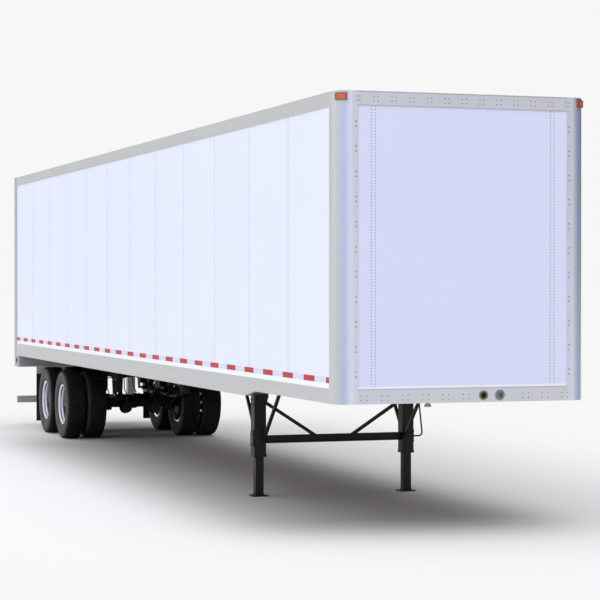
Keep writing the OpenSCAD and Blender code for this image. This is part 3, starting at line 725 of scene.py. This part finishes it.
# slide rails: the row of holes for the locking pins
SR_LO, SR_HI = corners("body_slide_rails")
ph = Build()
for sd in SIDES:
    k = 0
    while SR_LO.x + 0.12 + 0.152 * k < SR_HI.x - 0.08:
        x = SR_LO.x + 0.12 + 0.152 * k
        ph.turned([(0.021, -0.0005), (0.030, -0.0005), (0.029, 0.002), (0.022, 0.002)], (x, sd * 0.490, 1.131), (0, -sd, 0), 20, closed=True)
        k += 1
ph.make("slide_rail_pin_holes", "trailer_body", "zinc", "black_steel", 40)

# ---------------------------------------------------------------- landing gear
LH_LO, LH_HI = corners("leg_housings")
LL_LO, LL_HI = corners("landing_legs")
lx = (LH_LO.x + LH_HI.x) / 2
leg_y = (LL_LO.y + LL_HI.y) / 2
LEG_Y = 0.886
OUT_Y = LH_HI.y
lg = Build()
for sd in SIDES:
    # gearbox cover on the outer face, with its bolts, and the foot's collar and pin
    y = sd * OUT_Y
    lg.prism([(lx - 0.052, y - sd * 0.001, 0.56), (lx + 0.052, y - sd * 0.001, 0.56), (lx + 0.052, y - sd * 0.001, 0.70),
              (lx + 0.030, y - sd * 0.001, 0.735), (lx - 0.030, y - sd * 0.001, 0.735), (lx - 0.052, y - sd * 0.001, 0.70)],
             (0, sd * 0.012, 0))
    for px, pz in ((-0.042, 0.572), (0.042, 0.572), (-0.042, 0.69), (0.042, 0.69), (0, 0.722)):
        lg.bolt((lx + px, y + sd * 0.011, pz), (0, sd, 0), 0.006, 0.005)
    lg.turned([(0.0, 0), (0.012, 0), (0.012, 0.103), (0.0, 0.103)], (lx - 0.0515, sd * LEG_Y, 0.060), (1, 0, 0), 14)
    lg.box((lx - 0.050, sd * LEG_Y - 0.050, 0.0125), (lx + 0.050, sd * LEG_Y + 0.050, 0.030))
    # collar at the housing's lower end
    z = LH_LO.z
    for a, b in (((-0.071, -0.0725), (0.071, -0.0685)), ((-0.071, 0.0685), (0.071, 0.0725)),
                 ((-0.071, -0.0690), (-0.067, 0.0690)), ((0.067, -0.0690), (0.071, 0.0690))):
        lg.box((lx + a[0], sd * LEG_Y + a[1], z + 0.001), (lx + b[0], sd * LEG_Y + b[1], z + 0.030))
    # mounting plate bolts along the housing's top
    for oz in (1.03, 1.08, 1.13):
        for ox in (-0.045, 0.045):
            lg.bolt((lx + ox, y, oz), (0, sd, 0), 0.008, 0.006)
    for oz in (0.605, 0.662):
        lg.bolt((lx + 0.067, sd * (LEG_Y - 0.040), oz), (1, 0, 0), 0.008, 0.006)
        lg.bolt((lx + 0.067, sd * (LEG_Y + 0.040), oz), (1, 0, 0), 0.008, 0.006)
lg.make("landing_gear_fittings", "trailer_body", "legs", "black_steel", 40)
grip = Build()
CH_LO, CH_HI = corners("crank_handle")

# ---------------------------------------------------------------- rear frame
rr_ = Build()
RP_Y = RP_HI.y
for sd in SIDES:
    for k in range(24):
        z = 1.24 + 0.12 * k
        for ox in (0.030, REAR * 0 + 0.164):
            rr_.rivet((REAR + ox, sd * HW, z), (0, sd, 0), 0.006, 0.0018, 8)
for k in range(20):
    y = -1.14 + 0.12 * k
    rr_.rivet((REAR, y, 4.165), (-1, 0, 0), 0.006, 0.003, 8)
    rr_.rivet((REAR, y, 1.205), (-1, 0, 0), 0.007, 0.0035, 8)
rr_.make("rear_frame_rivets", "trailer_body", "zinc", "rear_frame_steel", 60)

# rear lamps: rubber grommets and domed lenses
gr, ln = Build(), Build()
for sd in SIDES:
    for y in (0.88, 1.01, 1.15):
        gr.turned([(0.0515, -0.012), (0.0600, -0.012), (0.0600, -0.002), (0.0570, 0.002), (0.0515, 0.002)],
                  (REAR - 0.010, sd * y, 1.080), (-1, 0, 0), 36, closed=True)
        ln.turned([(0.050, -0.0005), (0.049, 0.003), (0.040, 0.006), (0.020, 0.008), (0, 0.0085)],
                  (REAR - 0.010, sd * y, 1.080), (-1, 0, 0), 36)
gr.make("rear_lamp_grommets", "trailer_body", "gasket", "flap_rubber", 40)
ln.make("rear_lamp_lenses", "trailer_body", "red_lens", "red_lens", 40)

rt = Build()
for k in range(8):
    y0 = -1.28 + 0.32 * k
    rt.cur = k % 2
    rt.box((REAR + 0.0005, y0, 1.010), (REAR - 0.0018, y0 + 0.32, 1.022 + 0.0))
for k in range(8):
    y0 = -1.255 + 0.3137 * k
    rt.cur = k % 2
    rt.box((REAR + 0.0005, y0, 0.397), (REAR - 0.0018, y0 + 0.3137, 0.447))
for sd in SIDES:
    rt.cur = 1
    rt.box((REAR + 0.0005, sd * (HW - 0.010), 3.70), (REAR - 0.0018, sd * (HW - 0.040), 3.80))
rt.make("rear_reflective_tape", "trailer_body", ["tape_red", "tape_white"], "rear_frame_steel", 20)

db = Build()
for sd in SIDES:
    y = sd * 0.70
    db.box((REAR + 0.001, y - 0.055, 1.075), (REAR - 0.050, y + 0.055, 1.230))
    for oz in (1.100, 1.205):
        db.bolt((REAR - 0.050, y, oz), (-1, 0, 0), 0.010, 0.004)
db.make("dock_bumpers", "trailer_body", "gasket", "flap_rubber", 40, bevel=0.006)
pl = Build()
pl.box((REAR + 0.001, 0.160, 1.045), (REAR - 0.004, 0.470, 1.205))
pl.make("plate_holder", "trailer_body", "black", "black_steel", 40, bevel=0.002)
pl = Build()
pl.box((REAR - 0.0035, 0.165, 1.050), (REAR - 0.0055, 0.465, 1.200))
pl.make("blank_plate", "trailer_body", "clear", "rail_aluminium", 40, bevel=0.0008)
pb = Build()
for oy in (0.195, 0.435):
    for oz in (1.064, 1.186):
        pb.bolt((REAR - 0.0055, oy, oz), (-1, 0, 0), 0.006, 0.003)
pb.make("plate_bolts", "trailer_body", "zinc", "zinc_hardware", 40)

# ---------------------------------------------------------------- doors
for side, sd in (("left", 1), ("right", -1)):
    lo, hi = corners(side + "_door")
    y0, y1 = (lo.y, hi.y) if sd > 0 else (hi.y, lo.y)      # meeting edge, hinge edge
    body = side + "_rear_door"
    z0, z1 = lo.z, hi.z
    g = Build()
    xo, w, t = REAR - 0.0022, 0.030, 0.0025
    e0, e1 = y0 - sd * 0.0045, y1 + sd * 0.0035
    g.box((REAR + 0.001, e0, z0), (xo, e0 + sd * w, z1))
    g.box((REAR + 0.001, e1 - sd * w, z0), (xo, e1, z1))
    g.box((REAR + 0.001, e0 + sd * w, z0 - 0.004), (xo, e1 - sd * w, z0 + w))
    g.box((REAR + 0.001, e0 + sd * w, z1 - w), (xo, e1 - sd * w, z1 + 0.003))
    g.make(side + "_door_gasket", body, "gasket", "flap_rubber", 30)
    # rivets round the skin
    r = Build()
    for k in range(22):
        z = z0 + 0.08 + k * (z1 - z0 - 0.16) / 21
        for y in (y0 + sd * 0.045, y1 - sd * 0.045):
            r.rivet((REAR, y, z), (-1, 0, 0), 0.005, 0.0025, 8)
    r.make(side + "_door_rivets", body, "rivet", "zinc_hardware", 60)
    h = Build()
    for z in (1.5, 2.29, 3.08, 3.86):
        for y in (0.965, 1.045, 1.125):
            h.bolt((REAR - 0.016, sd * y, z), (-1, 0, 0), 0.009, 0.007)
    for ry, hl, hz in ((0.200, 0.400, 1.610), (0.840, -0.330, 1.520)):
        for z in (1.40, 2.06, 2.86, 3.70, 4.00):
            for o in (-0.023, 0.023):
                h.bolt((REAR - 0.032, sd * (ry + o), z), (-1, 0, 0), 0.005, 0.003)
        # handle catch, hasp and the grip's turned end
        ye = ry + hl * 0.82
        h.box((REAR + 0.0005, sd * (ye - 0.030), hz - 0.045), (REAR - 0.006, sd * (ye + 0.030), hz + 0.060))
        h.box((REAR - 0.005, sd * (ye - 0.022), hz - 0.030), (REAR - 0.036, sd * (ye + 0.022), hz - 0.0165))
        h.box((REAR - 0.030, sd * (ye - 0.022), hz - 0.018), (REAR - 0.036, sd * (ye + 0.022), hz + 0.012))
        h.bolt((REAR - 0.006, sd * ye, hz + 0.042), (-1, 0, 0), 0.007, 0.005)
        h.turned([(0.019, -0.024), (0.019, 0.024), (0.0125, 0.028), (0.0125, -0.028)], (REAR - 0.019, sd * ry, hz), (0, 0, 1), 20, closed=True)
    h.make(side + "_door_fastenings", body, "zinc", "zinc_hardware", 40)

# ---------------------------------------------------------------- tandem
SL_LO, SL_HI = corners("slider_frame")
AXX = axes_x
sp_lo, sp_hi = corners("leaf_springs")
tb = Build()
for x in AXX:
    for sd in SIDES:
        # two U bolts over each spring seat, a top plate and its nuts
        for ox in (-0.052, 0.052):
            yA, yB = sd * 0.478, sd * 0.572
            tb.pipe([(x + ox, yA, 0.414), (x + ox, yA, 0.664), (x + ox, yB, 0.664), (x + ox, yB, 0.414)], 0.009, 8)
            for y in (yA, yB):
                tb.bolt((x + ox, y, 0.437), (0, 0, -1), 0.013, 0.014)
        tb.box((x - 0.080, sd * 0.468, 0.437), (x + 0.080, sd * 0.582, 0.445))
        tb.box((x - 0.075, sd * 0.486, 0.656), (x + 0.075, sd * 0.564, 0.668))
        # leaf clips near the spring's ends
        for ox in (-0.30, 0.30):
            zc = 0.606 + 0.072 * (0.30 / (0.780 if ox > 0 and x == AXX[0] else 0.575)) ** 2
            tb.box((x + ox - 0.016, sd * 0.4875, zc - 0.006), (x + ox + 0.016, sd * 0.4915, zc + 0.046))
            tb.box((x + ox - 0.016, sd * 0.5585, zc - 0.006), (x + ox + 0.016, sd * 0.5625, zc + 0.046))
            tb.box((x + ox - 0.016, sd * 0.4875, zc - 0.010), (x + ox + 0.016, sd * 0.5625, zc - 0.004))
tb.make("spring_u_bolts", "tandem", "black", "spring_steel", 40)

# leaf edges of the spring packs
lf = Build()
for x in AXX:
    for sd in SIDES:
        for j in range(3):
            half = 0.56 - 0.15 * j
            for y0, y1 in ((0.4885, 0.4915), (0.5585, 0.5615)):
                up, dn = [], []
                for k in range(-8, 9):
                    reach = 0.780 if (k > 0 and x == AXX[0]) else 0.575
                    u = half * k / 8 * reach / 0.575
                    zc = 0.606 + 0.072 * (u / reach) ** 2 + 0.010 + 0.013 * j
                    up.append((x + u, sd * y0, zc + 0.005))
                    dn.append((x + u, sd * y0, zc - 0.005))
                lf.prism(dn + up[::-1], (0, sd * (y1 - y0), 0))
lf.make("spring_leaf_edges", "tandem", "steel", "spring_steel", 40)

# radius rods from hanger to axle seat, with eyes
rd = Build()
hang = (AXX[0] + 0.81, (AXX[0] + AXX[1]) / 2)
for x, hx in zip(AXX, hang):
    for sd in SIDES:
        y = sd * 0.4550
        a, b = Vector((hx - 0.02, y, 0.690)), Vector((x + 0.06, y, 0.462))
        rd.pipe([a, b], 0.017, 12)
        for p in (a, b):
            rd.turned([(0.012, -0.018), (0.034, -0.018), (0.034, 0.018), (0.012, 0.018)], p, (0, 1, 0), 24, closed=True)
            rd.bolt(p + Vector((0, sd * 0.018, 0)), (0, sd, 0), 0.011, 0.008)
rd.make("radius_rods", "tandem", "black", "black_steel", 40)

bs = Build()
for x in AXX:
    for sd in SIDES:
        bs.turned([(0.0, 0), (0.044, 0), (0.047, 0.012), (0.041, 0.026), (0.045, 0.040), (0.036, 0.054), (0.030, 0.068), (0.018, 0.078), (0, 0.080)],
                  (x, sd * 0.525, 0.7905), (0, 0, -1), 28)
bs.make("bump_rubbers", "tandem", "gasket", "flap_rubber", 40)

# hanger bolts and bolts at the cross bracing
hb = Build()
HG_LO, HG_HI = corners("spring_hangers")
for hx in (AXX[0] + 0.83, (AXX[0] + AXX[1]) / 2, AXX[1] - 0.59):
    for sd in SIDES:
        for y, n in ((0.570, 1), (0.480, -1)):
            hb.bolt((hx, sd * y, 0.700), (0, sd * n, 0), 0.016, 0.012)
            for ox in (-0.08, 0.08):
                hb.bolt((hx + ox, sd * y, 0.930), (0, sd * n, 0), 0.010, 0.008)
for x in (-6.60, -5.90, -4.80, -3.90):
    for sd in SIDES:
        hb.bolt((x - 0.035, sd * 0.574, 1.085), (0, sd, 0), 0.009, 0.008)
        hb.bolt((x + 0.035, sd * 0.574, 1.085), (0, sd, 0), 0.009, 0.008)
hb.make("tandem_bolts", "tandem", "zinc", "zinc_hardware", 40)

# locking pins and their pull rod
lp_ = Build()
for x in (SL_LO.x + 0.42, SL_HI.x - 0.52):
    lp_.pipe([(x, -0.455, 1.045), (x, 0.455, 1.045)], 0.010, 8)
    for sd in SIDES:
        lp_.turned([(0.017, -0.050), (0.017, 0.012), (0.013, 0.020)], (x, sd * 0.462, 1.045), (0, sd, 0), 20)
lp_.pipe([(SL_LO.x + 0.42, -0.15, 1.045), (SL_HI.x - 0.52, -0.15, 1.045)], 0.009, 8)
lp_.pipe([(SL_HI.x - 0.54, -0.15, 1.045), (SL_HI.x - 0.54, -0.30, 0.945), (SL_HI.x - 0.54, -0.78, 0.945),
          (SL_HI.x - 0.54, -0.80, 0.905)], 0.008, 8)
lp_.make("locking_pins", "tandem", "black", "black_steel", 40)

# brake chambers: clamp bands, push rods and slack adjusters
bc = Build()
for x in AXX:
    for sd in SIDES:
        y, z = sd * 0.225, TR - 0.058
        for cx_, r in ((x + 0.105, 0.0885), (x + 0.185, 0.0765)):
            bc.turned([(r - 0.002, -0.010), (r + 0.006, -0.010), (r + 0.008, 0), (r + 0.006, 0.010), (r - 0.002, 0.010)],
                      (cx_, y, z), (1, 0, 0), 32, closed=True)
            bc.box((cx_ - 0.010, y - 0.014, z + r), (cx_ + 0.010, y + 0.014, z + r + 0.022))
            bc.bolt((cx_, y + 0.014, z + r + 0.013), (0, 1, 0), 0.006, 0.006)
        bc.pipe([(x + 0.236, y, z + 0.02), (x + 0.262, y, z + 0.02), (x + 0.262, y, z + 0.17), (x + 0.03, y, z + 0.28),
                 (x + 0.03, y, 0.972)], 0.008, 8)
        bc.turned([(0.020, -0.012), (0.034, -0.012), (0.034, 0.012), (0.020, 0.012)], (x + 0.130, sd * 0.300, TR + 0.060), (0, 1, 0), 24, closed=True)
        bc.prism([(x + 0.104, sd * 0.290, TR + 0.055), (x + 0.100, sd * 0.290, TR - 0.065), (x + 0.128, sd * 0.290, TR - 0.065), (x + 0.156, sd * 0.290, TR + 0.055)],
                 (0, sd * 0.020, 0))
bc.make("brake_fittings", "tandem", "black", "black_steel", 40)

# tank straps, drain tap, relay valve and its pipes
tk = Build()
T_LO, T_HI = corners("air_tank")
tz, tr = 1.020, 0.105
for x in (-4.52, -4.13):
    tk.turned([(tr - 0.001, -0.018), (tr + 0.004, -0.018), (tr + 0.004, 0.018), (tr - 0.001, 0.018)], (x, 0, tz), (1, 0, 0), 40, closed=True)
for x, n in ((-4.645, -1), (-4.005, 1)):
    tk.turned([(0.098, -0.001), (0.090, 0.014), (0.060, 0.026), (0, 0.032)], (x, 0, tz), (n, 0, 0), 36)
tk.turned([(0.010, 0), (0.010, 0.022), (0.014, 0.022), (0.014, 0.032), (0.006, 0.036)], (-4.33, 0, tz - tr + 0.002), (0, 0, -1), 14)
tk.make("air_tank_fittings", "tandem", "black", "black_steel", 40)
rl = Build()
rl.turned([(0.0, -0.05), (0.046, -0.05), (0.052, -0.02), (0.052, 0.010), (0.036, 0.022), (0.036, 0.045), (0, 0.048)],
          (-5.19, 0, 1.005), (0, 0, 1), 28)
for y in (-0.10, 0.10):
    rl.pipe([(-5.19, y * 0.35, 1.0), (-5.19, y * 1.4, 1.0), (-4.80, y * 1.4, 1.0), (-4.70, y * 1.4, 1.0)], 0.009, 8)
    rl.pipe([(-5.21, y * 0.3, 0.985), (-5.45, y * 0.7, 0.985), (-5.66, y * 0.7, 0.960), (-5.66, y * 0.7, 0.93)], 0.009, 8)
rl.box((-5.325, -0.045, 0.976), (-5.235, 0.045, 0.984))
rl.make("relay_valve_and_pipes", "tandem", "bare", "black_steel", 40)

# mud flap bolts, and ribs down both faces
mf = Build()
MF_LO, MF_HI = corners("mud_flaps")
mx = (MF_LO.x + MF_HI.x) / 2
for sd in SIDES:
    for k in range(6):
        y = sd * (0.640 + 0.104 * k)
        mf.bolt((mx + 0.012, y, 0.930), (1, 0, 0), 0.009, 0.006)
        mf.bolt((mx - 0.012, y, 0.930), (-1, 0, 0), 0.009, 0.006)
mf.make("mud_flap_bolts", "tandem", "zinc", "zinc_hardware", 40)
fl = Build()
for sd in SIDES:
    for k in range(9):
        y = sd * (0.630 + 0.0675 * k)
        for xs, n in ((MF_HI.x, 1), (MF_LO.x, -1)):
            fl.prism([(xs - n * 0.0005, y - 0.008, 0.19), (xs - n * 0.0005, y + 0.008, 0.19), (xs + n * 0.004, y, 0.19)], (0, 0, 0.68))
fl.make("mud_flap_ribs", "tandem", "flap", "flap_rubber", 60)

# ---------------------------------------------------------------- tyres
TYRE_W, TYRE_GAP = 0.285, 0.338
TYRE_MID_OUT = tyre_hi[1] - TYRE_W / 2
side_prof = [(0.2885, 0.0975), (0.3085, 0.1035), (0.3125, 0.1100), (0.3180, 0.1175), (0.3200, 0.1225), (0.3240, 0.1230),
             (0.3270, 0.1210), (0.3360, 0.1280), (0.3450, 0.1325), (0.3550, 0.1365), (0.3565, 0.1380), (0.3600, 0.1382),
             (0.3615, 0.1372), (0.3720, 0.1400), (0.3880, 0.1420), (0.4060, 0.1420), (0.4280, 0.1405), (0.4400, 0.1388),
             (0.4415, 0.1402), (0.4450, 0.1402), (0.4465, 0.1382), (0.4660, 0.1345), (0.4700, 0.1365), (0.4820, 0.1345),
             (0.4840, 0.1295), (0.4950, 0.1270), (0.4980, 0.1280), (0.5080, 0.1225), (0.5145, 0.1150)]
tread_prof = [(0.5190, 0.1085), (0.5215, 0.1000), (0.5220, 0.0890), (0.5080, 0.0870), (0.5080, 0.0810), (0.5225, 0.0790),
              (0.5230, 0.0640), (0.5230, 0.0500), (0.5090, 0.0480), (0.5090, 0.0400), (0.5235, 0.0380), (0.5240, 0.0250),
              (0.5240, 0.0110), (0.5095, 0.0090), (0.5095, 0.0000)]
half = side_prof + tread_prof
prof = half + [(r, -y) for r, y in half[-2::-1]]
n_side = len(side_prof)
SEG = 216


def notch(i, k):
    """Cuts across the ribs: (profile row, segment) -> how far the rubber drops."""
    r, y = prof[i]
    a = abs(y)
    if r > 0.517 and 0.088 < a and (k % 6) in (0,):
        return 0.010
    if 0.4830 < r < 0.5155 and a > 0.108 and (k % 6) in (0, 1):
        return 0.006
    if r > 0.520 and 0.047 < a < 0.080 and ((k + 2) % 4) == 0:
        return 0.006
    if r > 0.520 and 0.009 < a < 0.041 and (k % 4) == 0:
        return 0.006
    return 0.0


def tyre_into(b, cx_, cy_, cz):
    n = len(prof)
    verts, faces, mi = [], [], []
    for k in range(SEG):
        t = 2 * math.pi * k / SEG
        c, s_ = math.cos(t), math.sin(t)
        for i, (r, y) in enumerate(prof):
            q = r - notch(i, k)
            verts.append((cx_ + q * c, cy_ + y, cz + q * s_))
    # the bead's inner band closes the section
    for k in range(SEG):
        j = (k + 1) % SEG
        for i in range(n):
            i2 = (i + 1) % n
            faces.append((k * n + i, k * n + i2, j * n + i2, j * n + i))
            r = max(prof[i][0], prof[i2][0])
            mi.append(0 if (i2 != 0 and r > 0.4975) else 1)
    o = len(b.v)
    b.v += verts
    b.f += [tuple(q + o for q in f) for f in faces]
    b.mi += mi


for node, x, sd in (("front_left", AXX[0], 1), ("front_right", AXX[0], -1), ("rear_left", AXX[1], 1), ("rear_right", AXX[1], -1)):
    b = Build()
    tyre_into(b, x, sd * TYRE_MID_OUT, TR)
    tyre_into(b, x, sd * (TYRE_MID_OUT - TYRE_GAP), TR)
    ob = b.make(node + "_tyre_pair", node + "_wheel_set", ["tread", "sidewall"], "tyre_rubber", 30)
    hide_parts(node + "_tyres")
    # nuts, hub cap, drum ribs and valves
    w = Build()
    mid = TYRE_MID_OUT - TYRE_GAP / 2
    face = mid + 0.022
    for k in range(10):
        t = math.pi / 10 + 2 * math.pi * k / 10
        p = (x + 0.143 * math.cos(t), sd * (face - 0.001), TR + 0.143 * math.sin(t))
        w.turned([(0.0, 0), (0.0215, 0), (0.0215, 0.004), (0.0195, 0.006)], p, (0, sd, 0), 20)
        w.turned([(0.0165, 0.004), (0.0165, 0.026), (0.0140, 0.029)], p, (0, sd, 0), 6)
        w.turned([(0.0100, 0.026), (0.0100, 0.040), (0.0080, 0.042)], p, (0, sd, 0), 12)
        q = (x + 0.143 * math.cos(t), sd * (mid - 0.0225), TR + 0.143 * math.sin(t))
        w.turned([(0.0150, 0), (0.0150, 0.010), (0.0120, 0.013)], q, (0, -sd, 0), 6)
    cap = mid + 0.078
    w.turned([(0.0895, -0.001), (0.1080, -0.001), (0.1080, 0.008), (0.1050, 0.011), (0.0895, 0.011)],
             (x, sd * cap, TR), (0, sd, 0), 48, closed=True)
    for k in range(6):
        t = 2 * math.pi * k / 6
        w.bolt((x + 0.098 * math.cos(t), sd * (cap + 0.010), TR + 0.098 * math.sin(t)), (0, sd, 0), 0.006, 0.005)
    w.turned([(0.0, 0), (0.032, 0), (0.032, 0.004), (0.026, 0.009), (0.012, 0.010), (0.010, 0.014), (0, 0.014)],
             (x, sd * (mid + 0.1335), TR), (0, sd, 0), 36)
    t = math.radians(54)
    w.pipe([(x + 0.250 * math.cos(t), sd * (face + 0.055), TR + 0.250 * math.sin(t)),
            (x + 0.222 * math.cos(t), sd * (face + 0.075), TR + 0.222 * math.sin(t)),
            (x + 0.214 * math.cos(t), sd * (face + 0.118), TR + 0.214 * math.sin(t))], 0.0045, 8)
    w.make(node + "_wheel_fittings", node + "_wheel_set", "zinc", "wheel_aluminium", 40)
    # cast drum ribs behind the inner wheel
    d = Build()
    for k in range(3):
        yb = 0.650 + 0.045 * k
        d.turned([(0.2255, -0.006), (0.2330, -0.005), (0.2330, 0.005), (0.2255, 0.006)], (x, sd * yb, TR), (0, sd, 0), 72, closed=True)
    d.make(node + "_drum_ribs", node + "_wheel_set", "iron", "bare_steel", 40)

# ---------------------------------------------------------------- stage
def quad(name, pts, mat):
    me = bpy.data.meshes.new(name)
    me.from_pydata(pts, [], [list(range(len(pts)))])
    ob = bpy.data.objects.new(name, me)
    sc.collection.objects.link(ob)
    me.materials.append(mat)
    return ob

sc.view_settings.view_transform = "Standard"
ground = Mat("studio_floor", (0.84, 0.84, 0.84), 0.9, 0.0, 0.0)
ground.color(ground.ramp(ground.noise(0.5, 2.0), [(0.3, (0.838, 0.836, 0.834)), (0.7, (0.842, 0.840, 0.838))]))
# painted shadow: the floor's colour is darkened in a soft patch under and around the body
gs0 = ground.node("ShaderNodeSeparateXYZ")
ground.link(ground.coord.outputs["Object"], gs0.inputs[0])
def soft(v, lo, hi):
    n = ground.node("ShaderNodeMapRange", interpolation_type="SMOOTHSTEP")
    n.inputs["From Min"].default_value = hi
    n.inputs["From Max"].default_value = lo
    ground.link(v, n.inputs["Value"])
    return n.outputs["Result"]
painted_shadow_x = soft(ground.math("ABSOLUTE", ground.math("ADD", gs0.outputs[0], -2.0)), 4.6, 7.2)
painted_shadow_x2 = soft(ground.math("ABSOLUTE", ground.math("ADD", gs0.outputs[0], 0.0)), 3.3, 6.2)
painted_shadow_mask = ground.math("MULTIPLY", ground.math("MAXIMUM", painted_shadow_x, painted_shadow_x2), soft(ground.math("ABSOLUTE", ground.math("ADD", gs0.outputs[1], 0.40)), 0.75, 2.35))
ground.color(ground.mix(ground.math("MULTIPLY", painted_shadow_mask, 0.47), ground.ramp(ground.noise(0.5, 2.0), [(0.3, (0.838, 0.836, 0.834)), (0.7, (0.842, 0.840, 0.838))]), (0.0, 0.0, 0.0)))
# the floor runs out into an evenly lit backdrop, away from the object
gs = ground.node("ShaderNodeSeparateXYZ")
ground.link(ground.coord.outputs["Object"], gs.inputs[0])
ex = ground.math("MAXIMUM", ground.math("SUBTRACT", ground.math("ABSOLUTE", gs.outputs[0]), 7.5), 0.0)
ey = ground.math("MAXIMUM", ground.math("SUBTRACT", ground.math("ABSOLUTE", gs.outputs[1]), 1.0), 0.0)
away = ground.math("SQRT", ground.math("ADD", ground.math("MULTIPLY", ex, ex), ground.math("MULTIPLY", ey, ey)))
fade = ground.node("ShaderNodeMapRange", interpolation_type="SMOOTHSTEP")
fade.inputs["From Min"].default_value = 1.5
fade.inputs["From Max"].default_value = 6.0
ground.link(away, fade.inputs["Value"])
glow = ground.node("ShaderNodeEmission")
glow.inputs["Color"].default_value = (0.93, 0.93, 0.93, 1)
blend = ground.node("ShaderNodeMixShader")
ground.link(fade.outputs["Result"], blend.inputs[0])
ground.link(ground.bsdf.outputs[0], blend.inputs[1])
ground.link(glow.outputs[0], blend.inputs[2])
ground.link(blend.outputs[0], ground.t.nodes["Material Output"].inputs["Surface"])
S = 180
quad("floor", [(-S, -S, 0), (S, -S, 0), (S, S, 0), (-S, S, 0)], ground.m)

# a soft white studio dome: brighter from the -Y side, with a dark screen low on the +Y side
world = bpy.data.worlds.new("studio")
sc.world = world
world.use_nodes = True
wt = world.node_tree
def wnode(kind, **kw):
    n = wt.nodes.new(kind)
    for k, v in kw.items():
        setattr(n, k, v)
    return n
def wmath(op, a, b=None, c=None):
    n = wnode("ShaderNodeMath", operation=op)
    for i, v in enumerate((a, b, c)):
        if v is None:
            continue
        if isinstance(v, (int, float)):
            n.inputs[i].default_value = v
        else:
            wt.links.new(v, n.inputs[i])
    return n.outputs[0]
def wstep(v, lo, hi):
    n = wnode("ShaderNodeMapRange", interpolation_type="SMOOTHSTEP")
    n.inputs["From Min"].default_value = lo
    n.inputs["From Max"].default_value = hi
    wt.links.new(v, n.inputs["Value"])
    return n.outputs["Result"]
wc = wnode("ShaderNodeTexCoord")
ws = wnode("ShaderNodeSeparateXYZ")
wt.links.new(wc.outputs["Generated"], ws.inputs[0])
side_glow = wmath("MULTIPLY", wstep(wmath("MULTIPLY", ws.outputs[1], -1), 0.1, 0.9), 0.52)
screen = wmath("MULTIPLY", wmath("MULTIPLY", wstep(ws.outputs[1], 0.15, 0.55),
               wmath("SUBTRACT", 1, wstep(ws.outputs[2], 0.35, 0.75))), 0.86)
nose_glow = wmath("MULTIPLY", wmath("MULTIPLY", wstep(ws.outputs[0], 0.2, 0.9), wmath("SUBTRACT", 1, wstep(ws.outputs[2], 0.3, 0.8))), 0.34)
overhead = wmath("MULTIPLY", wmath("MAXIMUM", ws.outputs[2], 0.0), 0.78)
dome = wmath("ADD", wmath("ADD", wmath("ADD", 0.58, overhead), side_glow), nose_glow)
strength = wmath("MULTIPLY", dome, wmath("SUBTRACT", 1, screen))
lp = wnode("ShaderNodeLightPath")
cam_mix = wnode("ShaderNodeMix", data_type="FLOAT")
wt.links.new(lp.outputs["Is Camera Ray"], cam_mix.inputs[0])
wt.links.new(strength, cam_mix.inputs[2])
cam_mix.inputs[3].default_value = 0.93
wt.links.new(cam_mix.outputs[0], wt.nodes["Background"].inputs["Strength"])
wt.nodes["Background"].inputs["Color"].default_value = (1, 1, 1, 1)
